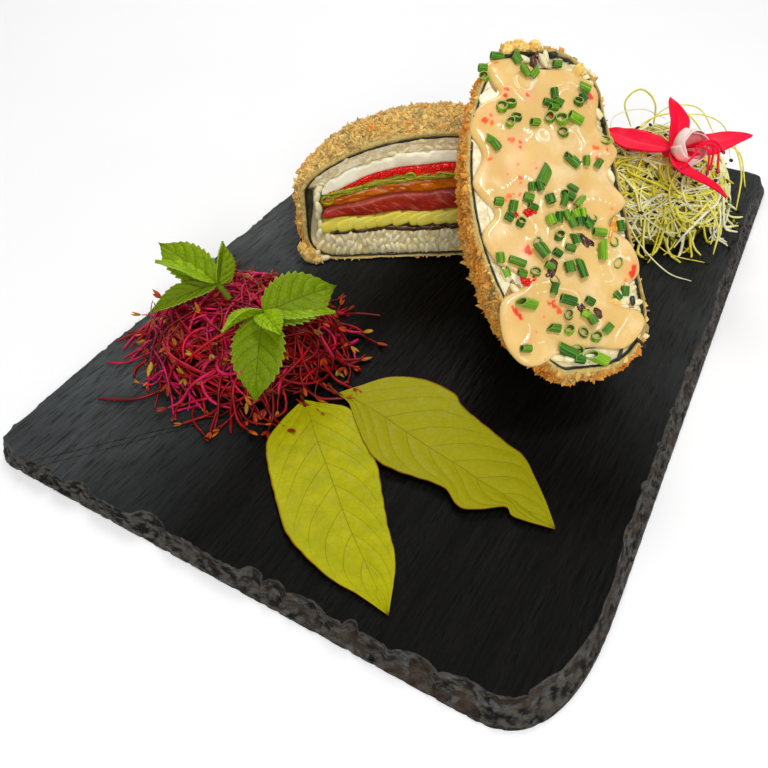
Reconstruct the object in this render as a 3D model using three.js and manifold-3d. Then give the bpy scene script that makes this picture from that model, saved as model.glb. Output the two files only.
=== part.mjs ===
// Sushi burger: a panko-crusted rice burger, cut in two and served on a slate board
// with red sprouts and mint, pale sprouts and a fuchsia flower, and two flat leaves.
// Millimetres, +Z up. The origin is the middle of the slate's underside; the slate's
// long side runs along Y and the serving side faces -Y.

import * as THREE from 'three';
import * as BufferGeometryUtils from 'three/addons/utils/BufferGeometryUtils.js';
import Module from 'manifold-3d';

const wasm = await Module();
wasm.setup();

// ---------- driving dimensions ----------

const gap = 0.3; // air kept between pieces that touch

const slate = {
  thickness: 6,
  points: 96, // points round the outline
  // the corners of the underside and how far from each the edges start to turn
  corners: [
    { at: [-98.5, -149.3], round: 10 },
    { at: [99.3, -149.3], round: 32 },
    { at: [99.3, 149], round: 8 },
    { at: [-95, 143], round: 30 },
  ],
  slope: { near: 6, right: 4, far: 2, left: 2 }, // how far the top edge stands in
  lipHeight: 2.2, // the split edge stands almost upright up to here
  lipShare: 0.25, // share of the slope that is taken up at the lip
  bite: { depth: 1.6, pitch: 21, spread: 47 },
};
const slateTop = slate.thickness;

const burger = {
  radius: 54, // outside of the nori
  crustFoot: 1.4,
  nori: 0.6,
  cutSlant: 6, // degrees: the knife went through a little off upright
  domePower: 0.7,
  shoulderShare: 0.6, // upright side, as a share of the height
  fillingRadius: 48,
  segments: 24, // round the whole burger
};

// Heights of the layers on the axis, and how far each drops towards the filling's rim.
const layers = [
  { name: 'mushroom', top: 15.6, drop: 0.6, wave: 0.3, pitch: 30, colour: 0x4b3320 },
  { name: 'avocado', top: 21.2, drop: 3.0, wave: 0.5, pitch: 24, colour: 0xc9c65a },
  { name: 'tuna', top: 30.0, drop: 7.4, wave: 0.4, pitch: 26, colour: 0x8c3226 },
  { name: 'orange_slice', top: 34.9, drop: 8.2, wave: 0.4, pitch: 32, colour: 0xb4641c },
  { name: 'seaweed_salad', top: 37.3, drop: 8.7, wave: 0.4, pitch: 28, colour: 0x6f7a22 },
  { name: 'red_roe', top: 41.0, drop: 10.8, wave: 0.4, pitch: 36, colour: 0xc4160c },
];
const bottomRiceTop = { top: 12.6, drop: 0.6, wave: 0.3, pitch: 34 };
const layerFall = 1.9; // power of the drop towards the rim
const layerReach = 60; // half the size of a layer's blank before it is trimmed

const backHalf = {
  name: 'back',
  height: 51.5, // base to the top of the nori
  depth: 53.5, // reach behind the cut
  baseCorner: 10.7,
  cheeseTop: 46,
  crustSide: 3.8,
  crustTop: 4.6,
  place: [-13.2, 13.3], // foot of the burger's axis on the slate
  turn: 32, // degrees from +X to the cut's line
};

const frontHalf = {
  name: 'front',
  height: 49.4,
  depth: 51,
  baseCorner: 18,
  cheeseTop: 45,
  crustSide: 3.2,
  crustTop: 2.5,
  faceCentre: [37, -16.1, 64],
  heading: 37.8, // the half's long axis points up and this far from +Y towards -X
  tilt: 31.7, // rise of the long axis
  roll: 1.3,
};

const sauce = {
  thickness: 1.3,
  roundOver: 0.6,
  edgeSteps: 66,
  // lobes and bays of the pool's edge on the cut face, joined by a smooth curve:
  // along the cut, across it (+ towards the dome)
  edge: [
    [50, 12], [52, 4], [47.5, -4], [46, -15], [38, -22.5], [25, -18.5], [16, -23.5],
    [7.5, -18.5], [-2, -23], [-9, -15.5], [-16, -22.5], [-26, -23], [-36, -12.5],
    [-42, -20], [-50, -14], [-51, -3], [-48.5, 7], [-50, 17], [-41, 21], [-31, 19],
    [-25.5, 10.5], [-18, 18], [-9, 20.5], [-2, 16.5], [8, 21.5], [18, 18.5], [27, 20.5],
    [36, 15], [40, 7.5], [45, 10],
  ],
};

const leafThickness = 0.7;
const flatLeaves = [
  {
    name: 'leaf_left', base: [-17.7, -83.6], tip: [45.3, -138],
    halfWidth: 17.2, bow: -3.1, fullness: [0.77, 0.68], taper: 0.82, edgeLift: 0.8,
  },
  {
    name: 'leaf_right', base: [-8.9, -75.1], tip: [75.5, -90.6],
    halfWidth: 18.6, bow: 6, fullness: [1.05, 0.61], taper: 1, edgeLift: 1.6,
  },
];

const redSprouts = { centre: [-51.5, -71], reach: [38, 34], height: 18.5, turn: 8, lobe: 0.04 };
const paleSprouts = { centre: [55, 93], reach: [32, 37], height: 32, turn: 0, lobe: 0.05 };

const mintStem = { radius: 1.1, sides: 6, leafCup: 1 };
const mintSprigs = [
  {
    name: 'mint_sprig_left',
    node: [-62.6, -67.6, 29],
    stemFoot: [-56, -69.5, 26.2],
    leaves: [
      { tip: [-88.9, -70.5, 31], halfWidth: 8, roll: 20 },
      { tip: [-93.6, -65.5, 33], halfWidth: 7.5, roll: -25 },
      { tip: [-67.2, -56.4, 38], halfWidth: 5, roll: 55 },
      { tip: [-75.5, -89.5, 26], halfWidth: 5.5, roll: -10 },
    ],
  },
  {
    name: 'mint_sprig_right',
    node: [-36.4, -75.3, 32],
    stemFoot: [-39, -73, 26.5],
    leaves: [
      { tip: [-25.1, -50.2, 30], halfWidth: 8.5, roll: 25 },
      { tip: [-18.3, -59.5, 28], halfWidth: 8, roll: -5 },
      { tip: [-41.5, -91, 30], halfWidth: 5.5, roll: 30 },
      { tip: [-21.4, -85.6, 35], halfWidth: 4, roll: 0 },
      { tip: [-26.9, -95.7, 14], halfWidth: 8, roll: 0 },
    ],
  },
];

const fuchsia = {
  joint: [59.5, 77.2, 41],
  neck: { radius: 2.6, end: [57, 79.5, 39.6] },
  sepalThickness: 0.9,
  sepalCup: 1.5,
  sepals: [
    { tip: [49.2, 97.7, 55], halfWidth: 6, roll: 0 },
    { tip: [27, 85.7, 43], halfWidth: 5.5, roll: -20 },
    { tip: [85.3, 91, 49.5], halfWidth: 5.5, roll: 20 },
    { tip: [84.8, 61.5, 38.5], halfWidth: 5, roll: -10 },
  ],
  corolla: { radius: 7, length: 11.5, facing: [0.42, -0.42, 0.8], stand: 4.9 },
};

// ---------- shared helpers ----------

const degrees = THREE.MathUtils.degToRad;
const upright = new THREE.Vector3(0, 0, 1);

function finish(colour, roughness = 0.6) {
  return new THREE.MeshStandardMaterial({ color: colour, roughness, metalness: 0 });
}

function named(name, geometry, material) {
  const mesh = new THREE.Mesh(geometry, material);
  mesh.name = name;
  return mesh;
}

// Joins the seams of a geometry, so that neighbouring faces share their points.
function seamless(geometry) {
  geometry.deleteAttribute('normal');
  geometry.deleteAttribute('uv');
  return BufferGeometryUtils.mergeVertices(geometry, 1e-4);
}

function toSolid(geometry) {
  const merged = seamless(geometry);
  return new wasm.Manifold(new wasm.Mesh({
    numProp: 3,
    vertProperties: new Float32Array(merged.attributes.position.array),
    triVerts: new Uint32Array(merged.index.array),
  }));
}

function toGeometry(solid) {
  const mesh = solid.getMesh();
  const geometry = new THREE.BufferGeometry();
  geometry.setAttribute('position', new THREE.BufferAttribute(new Float32Array(mesh.vertProperties), 3));
  geometry.setIndex(new THREE.BufferAttribute(new Uint32Array(mesh.triVerts), 1));
  return geometry;
}

// Moves every point of a geometry: place(point) changes the point it is given.
function reshape(geometry, place) {
  const position = geometry.attributes.position;
  const point = new THREE.Vector3();
  for (let i = 0; i < position.count; i++) {
    point.fromBufferAttribute(position, i);
    place(point);
    position.setXYZ(i, point.x, point.y, point.z);
  }
  return geometry;
}

// ---------- slate board ----------

function slateOutline() {
  const corners = slate.corners.map((corner) => new THREE.Vector2(...corner.at));
  const count = corners.length;
  const path = new THREE.Path();
  corners.forEach((corner, i) => {
    const round = slate.corners[i].round;
    const towards = (other) => other.clone().sub(corner).setLength(round).add(corner);
    const start = towards(corners[(i + count - 1) % count]);
    const end = towards(corners[(i + 1) % count]);
    if (i === 0) {
      path.moveTo(start.x, start.y);
    } else {
      path.lineTo(start.x, start.y);
    }
    path.quadraticCurveTo(corner.x, corner.y, end.x, end.y);
  });
  path.closePath();
  return path.getSpacedPoints(slate.points).slice(0, slate.points);
}

// How far the top edge stands in from the underside's outline, bitten here and there.
function slateSlope(outward, along) {
  const { slope, bite } = slate;
  const sideways = outward.x > 0 ? slope.right : slope.left;
  const endways = outward.y > 0 ? slope.far : slope.near;
  const mean = sideways * outward.x ** 2 + endways * outward.y ** 2;
  const bitten = Math.sin(along / bite.pitch * Math.PI) * Math.sin(along / bite.spread + 1);
  return mean + bite.depth * Math.abs(bitten) * mean / slope.near;
}

function makeSlate() {
  const outline = slateOutline();
  const step = outline[0].distanceTo(outline[1]);
  const rings = [
    { height: 0, share: 0 },
    { height: slate.lipHeight, share: slate.lipShare },
    { height: slate.thickness, share: 1 },
  ];
  const geometry = new THREE.CylinderGeometry(1, 1, 1, slate.points, 2).rotateX(Math.PI / 2);
  reshape(geometry, (point) => {
    const ring = rings[Math.round(2 * (point.z + 0.5))];
    if (Math.hypot(point.x, point.y) < 0.5) {
      point.set(0, 0, ring.height);
      return;
    }
    const turn = Math.round(Math.atan2(point.y, point.x) / (2 * Math.PI) * slate.points);
    const index = (turn + slate.points) % slate.points;
    const here = outline[index];
    const next = outline[(index + 1) % slate.points];
    const before = outline[(index + slate.points - 1) % slate.points];
    const outward = new THREE.Vector2(next.y - before.y, before.x - next.x).normalize();
    const inset = slateSlope(outward, index * step) * ring.share;
    point.set(here.x - outward.x * inset, here.y - outward.y * inset, ring.height);
  });
  return named('slate_board', seamless(geometry), finish(0x1d1d1e, 0.55));
}

// ---------- burger halves ----------

// Side view of the burger: flat base, rounded lower corner, upright side and low dome.
function burgerProfile({ radius, foot, corner, shoulder, top }) {
  const points = [new THREE.Vector2(0, foot)];
  const cornerSteps = 3;
  for (let i = 0; i <= cornerSteps; i++) {
    const a = i / cornerSteps * Math.PI / 2;
    points.push(new THREE.Vector2(radius - corner + corner * Math.sin(a), foot + corner - corner * Math.cos(a)));
  }
  const domeSteps = 5;
  for (let i = 0; i < domeSteps; i++) {
    const share = Math.cos(i / domeSteps * Math.PI / 2);
    const rise = (1 - share * share) ** burger.domePower;
    points.push(new THREE.Vector2(radius * share, shoulder + (top - shoulder) * rise));
  }
  points.push(new THREE.Vector2(0, top));
  return points;
}

function burgerBody(size) {
  const geometry = new THREE.LatheGeometry(burgerProfile(size), burger.segments);
  geometry.rotateX(Math.PI / 2);
  geometry.scale(1, size.depthShare, 1);
  return geometry;
}

// Everything on the kept side of the slanted cut.
function keptSide(slant) {
  const size = 200;
  const box = new THREE.BoxGeometry(size, size, size).translate(0, size / 2, 0);
  return toSolid(box.rotateX(-degrees(slant)));
}

function layerHeight(layer, x, y, depthShare) {
  const away = Math.min(Math.hypot(x, y / depthShare) / burger.fillingRadius, 1.1);
  const ripple = Math.sin(2 * Math.PI * x / layer.pitch);
  return layer.top - layer.drop * away ** layerFall + layer.wave * ripple;
}

// Everything under a layer's top surface, with the surface moved up by `shift`.
function under(surface, shift) {
  const columns = 12;
  const width = 2 * layerReach;
  const geometry = new THREE.BoxGeometry(width, width, 1, columns, 2, 1);
  return toSolid(reshape(geometry, (point) => {
    point.z = point.z > 0 ? surface(point.x, point.y) + shift : -1;
  }));
}

// Low swellings of the fried crust.
function unevenCrust(geometry) {
  return reshape(geometry, (point) => {
    const swell = 0.5 * Math.sin(point.x / 7.3 + point.z / 5) * Math.sin(point.y / 6.1 + point.z / 9);
    const share = 1 + swell / burger.radius;
    point.x *= share;
    point.y *= share;
    point.z *= point.z > 10 ? share : 1;
  });
}

function makeHalf(half, slant) {
  const group = new THREE.Group();
  const kept = keptSide(slant);
  const shoulder = half.height * burger.shoulderShare;
  const depthShare = half.depth / burger.radius;
  const add = (name, solid, colour, roughness) => {
    group.add(named(`${half.name}_${name}`, toGeometry(solid.intersect(kept)), finish(colour, roughness)));
  };
  // A body that stands `inset` inside the nori's outside, or outside it if negative.
  const body = (inset, foot, rise = inset) => burgerBody({
    radius: burger.radius - inset,
    foot,
    corner: half.baseCorner - Math.min(inset, 4),
    shoulder,
    top: half.height - rise,
    depthShare,
  });

  const crustFoot = burger.crustFoot;
  const crustOutside = toSolid(unevenCrust(body(-half.crustSide, 0, -half.crustTop)));
  add('panko_crust', crustOutside.subtract(toSolid(body(-gap, crustFoot))), 0xc79f5f, 0.85);

  const noriFoot = crustFoot + gap;
  const inside = burger.nori;
  add('nori', toSolid(body(0, noriFoot)).subtract(toSolid(body(inside, noriFoot + inside))), 0x10130f, 0.5);

  const riceBody = toSolid(body(inside + gap, noriFoot + inside + gap));
  const filling = (grow) => toSolid(burgerBody({
    radius: burger.fillingRadius + grow,
    foot: 4,
    corner: 3,
    shoulder: shoulder + grow / 2,
    top: half.cheeseTop + grow,
    depthShare,
  }));
  const surface = (layer) => (x, y) => layerHeight(layer, x, y, depthShare);
  const halfGap = gap / 2;
  const riceTop = surface(bottomRiceTop);

  add('bottom_rice', riceBody.intersect(under(riceTop, -halfGap)), 0xd9d3bd, 0.6);
  const stack = filling(0);
  let below = riceTop;
  for (const layer of layers) {
    const above = surface(layer);
    const slab = stack.intersect(under(above, -halfGap)).subtract(under(below, halfGap));
    add(layer.name, slab, layer.colour, 0.5);
    below = above;
  }
  add('cream_cheese', stack.subtract(under(below, halfGap)), 0xeee2c4, 0.5);
  const overStack = riceBody.subtract(under(riceTop, halfGap));
  add('top_rice', overStack.subtract(filling(gap)), 0xdcd6c2, 0.6);
  return group;
}

function makeBackHalf() {
  const group = makeHalf(backHalf, burger.cutSlant);
  group.position.set(...backHalf.place, slateTop + gap);
  group.rotation.z = degrees(backHalf.turn);
  return group;
}

// The smooth sauce lies on the cut face in lobes that leave the rims bare.
function makeSauce() {
  const stops = sauce.edge.map(([x, y]) => new THREE.Vector3(x, y, 0));
  const curve = new THREE.CatmullRomCurve3(stops, true);
  const edge = curve.getSpacedPoints(sauce.edgeSteps).slice(0, sauce.edgeSteps);
  const shape = new THREE.Shape(edge.map((point) => new THREE.Vector2(point.x, point.y)));
  const geometry = new THREE.ExtrudeGeometry(shape, {
    depth: sauce.thickness - sauce.roundOver,
    bevelThickness: sauce.roundOver,
    bevelSize: sauce.roundOver,
    bevelOffset: -sauce.roundOver,
    bevelSegments: 1,
  });
  const solid = toSolid(geometry).trimByPlane([0, 0, 1], 0);
  const mesh = named('front_sauce', toGeometry(solid), finish(0xf2cf94, 0.25));
  mesh.position.z = gap;
  return mesh;
}

function makeFrontHalf() {
  const half = makeHalf(frontHalf, -burger.cutSlant);
  const slant = degrees(burger.cutSlant);
  const middle = frontHalf.height / 2;

  // the cut face's own frame: x along the cut, y towards the dome, z out of the face
  const face = new THREE.Group();
  face.position.set(0, -Math.tan(slant) * middle, middle);
  face.rotation.x = Math.PI / 2 + slant;
  face.add(makeSauce());
  half.add(face);
  half.position.set(0, 0, 0).sub(face.position);

  const lying = new THREE.Group();
  const axes = new THREE.Matrix4().makeBasis(
    new THREE.Vector3(0, 1, 0),
    new THREE.Vector3(0, 0, -1),
    new THREE.Vector3(-1, 0, 0),
  );
  lying.quaternion.setFromRotationMatrix(axes);
  const rolled = new THREE.Group();
  rolled.rotation.x = degrees(frontHalf.roll) - slant;
  rolled.add(half);
  lying.add(rolled);
  const tilted = new THREE.Group();
  tilted.rotation.x = degrees(frontHalf.tilt);
  tilted.add(lying);
  const group = new THREE.Group();
  group.rotation.z = degrees(frontHalf.heading);
  group.position.set(...frontHalf.faceCentre);
  group.add(tilted);
  return group;
}

// ---------- leaves ----------

// Share of the full width along a leaf, from 0 at the stalk to 1 at the tip.
function leafWidth(share, fullness, taper) {
  return Math.max(Math.sin(Math.PI * share ** fullness), 0) ** taper;
}

// A thin blade along +X with its face towards +Z. Each side has its own fullness.
function blade({ length, halfWidth, thickness, fullness, taper, bow, cup, steps, across }) {
  const stalk = thickness / 2;
  const geometry = new THREE.BoxGeometry(1, 2, 1, steps, across, 1);
  return reshape(geometry, (point) => {
    const share = point.x + 0.5;
    const side = point.y;
    const spread = leafWidth(share, fullness[side < 0 ? 0 : 1], taper);
    const width = stalk + halfWidth * spread;
    const lift = cup * Math.abs(side) * spread;
    point.set(length * share, bow * Math.sin(Math.PI * share) + side * width, lift + point.z * thickness);
  });
}

function makeFlatLeaf(leaf) {
  const base = new THREE.Vector2(...leaf.base);
  const run = new THREE.Vector2(...leaf.tip).sub(base);
  const geometry = blade({
    length: run.length(),
    halfWidth: leaf.halfWidth,
    thickness: leafThickness,
    bow: leaf.bow,
    fullness: leaf.fullness,
    taper: leaf.taper,
    cup: leaf.edgeLift,
    steps: 10,
    across: 4,
  });
  const mesh = named(leaf.name, seamless(geometry), finish(0xa9b32a, 0.6));
  mesh.position.set(base.x, base.y, slateTop + gap + leafThickness / 2);
  mesh.rotation.z = run.angle();
  return mesh;
}

// A small pointed blade with its back to the straight line between two points.
function petal(from, to, { halfWidth, thickness, cup, roll }) {
  const geometry = blade({
    length: from.distanceTo(to),
    halfWidth,
    thickness,
    fullness: [0.6, 0.6],
    taper: 0.8,
    bow: 0,
    cup,
    steps: 4,
    across: 2,
  });
  return toSolid(aim(geometry, from, to, roll));
}

// Turns a geometry that runs along +X with its face to +Z so that it runs from one point to another.
function aim(geometry, from, to, roll = 0) {
  const along = new THREE.Vector3().subVectors(to, from).normalize();
  const side = new THREE.Vector3().crossVectors(upright, along).normalize();
  const facing = new THREE.Vector3().crossVectors(along, side);
  geometry.rotateX(degrees(roll));
  geometry.applyMatrix4(new THREE.Matrix4().makeBasis(along, side, facing).setPosition(from));
  return geometry;
}

function rod(from, to, radius, sides) {
  const path = new THREE.LineCurve3(from, to);
  const circle = new THREE.Shape().absarc(0, 0, radius, 0, 2 * Math.PI);
  return new THREE.ExtrudeGeometry(circle, { extrudePath: path, steps: 1, curveSegments: sides });
}

function makeMint(sprig) {
  const node = new THREE.Vector3(...sprig.node);
  const foot = new THREE.Vector3(...sprig.stemFoot);
  const past = node.clone().add(node.clone().sub(foot).setLength(1));
  let solid = toSolid(rod(foot, past, mintStem.radius, mintStem.sides));
  for (const leaf of sprig.leaves) {
    const tip = new THREE.Vector3(...leaf.tip);
    solid = solid.add(petal(node, tip, { ...leaf, thickness: leafThickness, cup: mintStem.leafCup }));
  }
  return named(sprig.name, toGeometry(solid), finish(0x7fa828, 0.6));
}

// ---------- sprout heaps ----------

function makeHeap(name, heap, colour) {
  const profile = [
    [0, 0], [1, 0], [1.02, 0.12], [0.96, 0.38], [0.82, 0.66], [0.58, 0.88], [0.28, 0.98], [0, 1],
  ].map(([x, y]) => new THREE.Vector2(x, y));
  const geometry = new THREE.LatheGeometry(profile, 20).rotateX(Math.PI / 2);
  reshape(geometry, (point) => {
    const angle = Math.atan2(point.y, point.x);
    const reach = 1 + heap.lobe * (Math.sin(3 * angle + 1) + Math.sin(5 * angle));
    const lump = 1 + 0.05 * Math.sin(4 * point.x + 1) * Math.cos(5 * point.y);
    point.set(point.x * heap.reach[0] * reach, point.y * heap.reach[1] * reach, point.z * heap.height * lump);
  });
  const mesh = named(name, seamless(geometry), finish(colour, 0.7));
  mesh.position.set(...heap.centre, slateTop + gap);
  mesh.rotation.z = degrees(heap.turn);
  return mesh;
}

// ---------- fuchsia flower ----------

// A place on the axis of the rolled petals, by its distance from the sepals' joint.
function onFlowerAxis(distance) {
  const axis = new THREE.Vector3(...fuchsia.corolla.facing).normalize();
  return new THREE.Vector3(...fuchsia.joint).addScaledVector(axis, distance);
}

function makeSepals() {
  const neck = fuchsia.neck;
  const joint = new THREE.Vector3(...fuchsia.joint);
  const seat = onFlowerAxis(fuchsia.corolla.stand - gap);
  let solid = toSolid(rod(new THREE.Vector3(...neck.end), joint, neck.radius, 8));
  solid = solid.add(toSolid(rod(onFlowerAxis(-1), seat, neck.radius, 8)));
  for (const sepal of fuchsia.sepals) {
    const tip = new THREE.Vector3(...sepal.tip);
    const { sepalThickness: thickness, sepalCup: cup } = fuchsia;
    solid = solid.add(petal(joint, tip, { ...sepal, thickness, cup }));
  }
  return named('fuchsia_sepals', toGeometry(solid), finish(0xe8083c, 0.45));
}

// The rolled inner petals: a full cup, closed at the back and open at the front.
function makeCorolla() {
  const { radius, length, facing } = fuchsia.corolla;
  const profile = [
    [0, 0], [0.5, 0.02], [0.92, 0.3], [1, 0.6], [0.86, 1], [0.74, 1], [0.8, 0.6], [0.6, 0.35], [0, 0.25],
  ].map(([x, y]) => new THREE.Vector2(x * radius, y * length));
  const geometry = new THREE.LatheGeometry(profile, 12);
  const mesh = named('fuchsia_corolla', seamless(geometry), finish(0xf6cfc6, 0.5));
  const axis = new THREE.Vector3(...facing).normalize();
  mesh.quaternion.setFromUnitVectors(new THREE.Vector3(0, 1, 0), axis);
  mesh.position.copy(onFlowerAxis(fuchsia.corolla.stand));
  return mesh;
}

const group = new THREE.Group();
group.add(makeSlate(), makeBackHalf(), makeFrontHalf());
for (const leaf of flatLeaves) {
  group.add(makeFlatLeaf(leaf));
}
group.add(makeHeap('red_sprouts', redSprouts, 0xa01230));
group.add(makeHeap('pale_sprouts', paleSprouts, 0xd3d08a));
for (const sprig of mintSprigs) {
  group.add(makeMint(sprig));
}
group.add(makeSepals(), makeCorolla());

export default group;
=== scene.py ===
# Sushi burger on a slate board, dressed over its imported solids.
# Sizes below are in millimetres unless a note says otherwise; meshes are made in metres.
import bpy, bmesh, math
import numpy as np
from mathutils import Matrix, Vector


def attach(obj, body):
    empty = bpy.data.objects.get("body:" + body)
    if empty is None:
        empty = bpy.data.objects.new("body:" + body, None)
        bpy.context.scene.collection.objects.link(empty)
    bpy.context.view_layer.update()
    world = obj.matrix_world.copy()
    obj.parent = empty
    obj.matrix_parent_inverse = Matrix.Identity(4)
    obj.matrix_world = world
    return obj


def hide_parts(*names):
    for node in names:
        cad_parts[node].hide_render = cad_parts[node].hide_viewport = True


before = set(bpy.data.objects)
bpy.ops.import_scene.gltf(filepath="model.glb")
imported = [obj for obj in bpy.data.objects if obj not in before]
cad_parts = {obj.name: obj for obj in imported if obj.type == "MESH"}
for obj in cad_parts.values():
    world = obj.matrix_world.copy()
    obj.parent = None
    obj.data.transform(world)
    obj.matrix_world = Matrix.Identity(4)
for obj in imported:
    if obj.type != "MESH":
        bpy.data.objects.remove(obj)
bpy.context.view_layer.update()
mm = 0.001
fullTurn = 2 * math.pi


def lumps(points, size, seed=0):
    # soft random swellings from -1 to 1, about `size` apart
    table = np.random.default_rng(seed).random((24, 24, 24)) * 2 - 1
    at = np.asarray(points, float) / size + 240.0
    base = np.floor(at).astype(int)
    part = at - base
    part = part * part * (3 - 2 * part)
    total = 0.0
    for corner in np.ndindex(2, 2, 2):
        weight = np.prod(np.where(np.array(corner) == 1, part, 1 - part), axis=-1)
        index = (base + np.array(corner)) % 24
        total = total + weight * table[index[..., 0], index[..., 1], index[..., 2]]
    return total


def ridges(points, size, seed=0):
    # thin crests between swellings, from 0 to 1
    return 1 - np.minimum(np.abs(lumps(points, size, seed)) * 4, 1)


def ramp(value, low, high):
    share = np.clip((value - low) / (high - low), 0, 1)
    return share * share * (3 - 2 * share)


def flatAt(x, y):
    return np.stack([x, y, x * 0], axis=-1)


def spaced(line, count, closed=False):
    # `count` points at even steps along a polyline
    line = np.asarray(line, float)
    if closed:
        line = np.vstack([line, line[:1]])
    run = np.concatenate([[0], np.cumsum(np.linalg.norm(np.diff(line, axis=0), axis=1))])
    at = np.linspace(0, run[-1], count + closed)[:count]
    return np.stack([np.interp(at, run, line[:, k]) for k in range(line.shape[1])], axis=1)


def smoothLine(stops, count, closed=False):
    # a smooth curve through the stops
    stops = np.array(stops, float)
    if closed:
        padded = np.vstack([stops[-1:], stops, stops[:2]])
    else:
        padded = np.vstack([stops[0] * 2 - stops[1], stops, stops[-1] * 2 - stops[-2]])
    line = []
    for a, b, c, d in zip(padded, padded[1:], padded[2:], padded[3:]):
        for t in np.linspace(0, 1, 12, endpoint=False):
            bend, twist = 2 * a - 5 * b + 4 * c - d, 3 * b - a - 3 * c + d
            line.append(0.5 * (2 * b + (c - a) * t + bend * t * t + twist * t ** 3))
    return spaced(line if closed else line + [stops[-1]], count, closed)


def gridFaces(rows, columns, start=0, wrapRows=False, wrapColumns=False):
    down, along = np.arange(rows - (not wrapRows)), np.arange(columns - (not wrapColumns))
    i, j = np.meshgrid(down, along, indexing="ij")
    after, beside = (i + 1) % rows * columns, (j + 1) % columns
    corners = [i * columns + j, i * columns + beside, after + beside, after + j]
    return (np.stack(corners, axis=-1).reshape(-1, 4) + start).tolist()


def endFaces(rows, columns):
    # the two ends of a tube of rings
    return [list(range(columns - 1, -1, -1)), [(rows - 1) * columns + k for k in range(columns)]]


def footFaces(ring, foot, count):
    # from a ring down to its foot, and from there to the point that follows the foot
    faces = []
    for k in range(count):
        after = (k + 1) % count
        faces.append((ring + k, ring + after, foot + after, foot + k))
        faces.append((foot + k, foot + after, foot + count))
    return faces


def polarGrid(rows, around, most=1.0):
    angles = np.linspace(0, fullTurn, around, endpoint=False)
    return np.meshgrid(np.linspace(0, most, rows), angles, indexing="ij")


def moved(points, matrix):
    return np.asarray(points, float) @ matrix[:3, :3].T + matrix[:3, 3]


def newPiece(name, mesh):
    piece = bpy.data.objects.new(name, mesh)
    bpy.context.scene.collection.objects.link(piece)
    return piece


def makePiece(name, points, faces, values=None, edges=()):
    mesh = bpy.data.meshes.new(name)
    mesh.from_pydata((np.asarray(points, float) * mm).tolist(), edges, faces)
    for label, numbers in (values or {}).items():
        numbers = np.asarray(numbers, np.float32)
        kind, field = ("FLOAT_VECTOR", "vector") if numbers.ndim == 2 else ("FLOAT", "value")
        mesh.attributes.new(label, kind, "POINT").data.foreach_set(field, numbers.ravel())
    return newPiece(name, mesh)


def close(piece, distance=0.01):
    # joins points that meet and turns every face outwards
    work = bmesh.new()
    work.from_mesh(piece.data)
    bmesh.ops.remove_doubles(work, verts=work.verts, dist=distance * mm)
    bmesh.ops.dissolve_degenerate(work, edges=work.edges, dist=distance * mm / 4)
    bmesh.ops.recalc_face_normals(work, faces=work.faces)
    work.to_mesh(piece.data)
    work.free()
    piece.data.shade_smooth()
    return piece


def readAll(items, field, width=1, kind=float):
    flat = np.empty(len(items) * width, kind)
    items.foreach_get(field, flat)
    return flat.reshape(-1, width) if width > 1 else flat


def coordinates(piece):
    return readAll(piece.data.vertices, "co", 3) / mm


def localOf(piece):
    # each point's place in its own burger half
    return readAll(piece.data.attributes["local"].data, "vector", 3) / mm


def valuesOf(piece, label):
    return readAll(piece.data.attributes[label].data, "value", 1, np.float32)


def setCoordinates(piece, points):
    piece.data.vertices.foreach_set("co", (points * mm).ravel())
    piece.data.update()


def setValues(piece, **values):
    for label, numbers in values.items():
        layer = piece.data.attributes.get(label) or piece.data.attributes.new(label, "FLOAT", "POINT")
        layer.data.foreach_set("value", np.asarray(numbers, np.float32))


def joined(name, pieces, smooth=True):
    # one piece out of several that share a material
    work = bmesh.new()
    for piece in pieces:
        work.from_mesh(piece.data)
        bpy.data.objects.remove(piece)
    mesh = bpy.data.meshes.new(name)
    work.to_mesh(mesh)
    work.free()
    if smooth:
        mesh.shade_smooth()
    return newPiece(name, mesh)


def dress(piece, material, slot, *nodes):
    piece.data.materials.clear()
    piece.data.materials.append(material)
    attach(piece, "root")
    if nodes:
        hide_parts(*nodes)
    return piece


def addNode(tree, kind, inputs=None, **settings):
    # a node with its settings made and its inputs linked or filled, by name or number
    if "Node" not in kind:
        kind = tree.bl_idname.replace("NodeTree", "Node") + kind
    node = tree.nodes.new(kind)
    for label, value in settings.items():
        setattr(node, label, value)
    for label, value in (inputs or {}).items():
        if isinstance(value, bpy.types.NodeSocket):
            tree.links.new(value, node.inputs[label])
        else:
            node.inputs[label].default_value = value
    return node


def add(tree, kind, inputs=None, **settings):
    # the same, for its first output
    return addNode(tree, kind, inputs, **settings).outputs[0]


def newTree(name, *sockets):
    # a geometry tree that takes the host, its own named values and a material
    tree = bpy.data.node_groups.new(name, "GeometryNodeTree")
    for label, kind, value in [("Geometry", "Geometry", None), *sockets, ("Material", "Material", None)]:
        socket = tree.interface.new_socket(label, in_out="INPUT", socket_type="NodeSocket" + kind)
        if value is not None:
            socket.default_value = value
    tree.interface.new_socket("Geometry", in_out="OUTPUT", socket_type="NodeSocketGeometry")
    return tree, tree.nodes.new("NodeGroupInput").outputs


def endTree(tree, give, geometry, smooth):
    real = add(tree, "RealizeInstances", {"Geometry": geometry})
    shade = add(tree, "SetShadeSmooth", {"Geometry": real, "Shade Smooth": smooth})
    coat = add(tree, "SetMaterial", {"Geometry": shade, "Material": give["Material"]})
    tree.links.new(coat, tree.nodes.new("NodeGroupOutput").inputs[0])
    return tree


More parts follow.
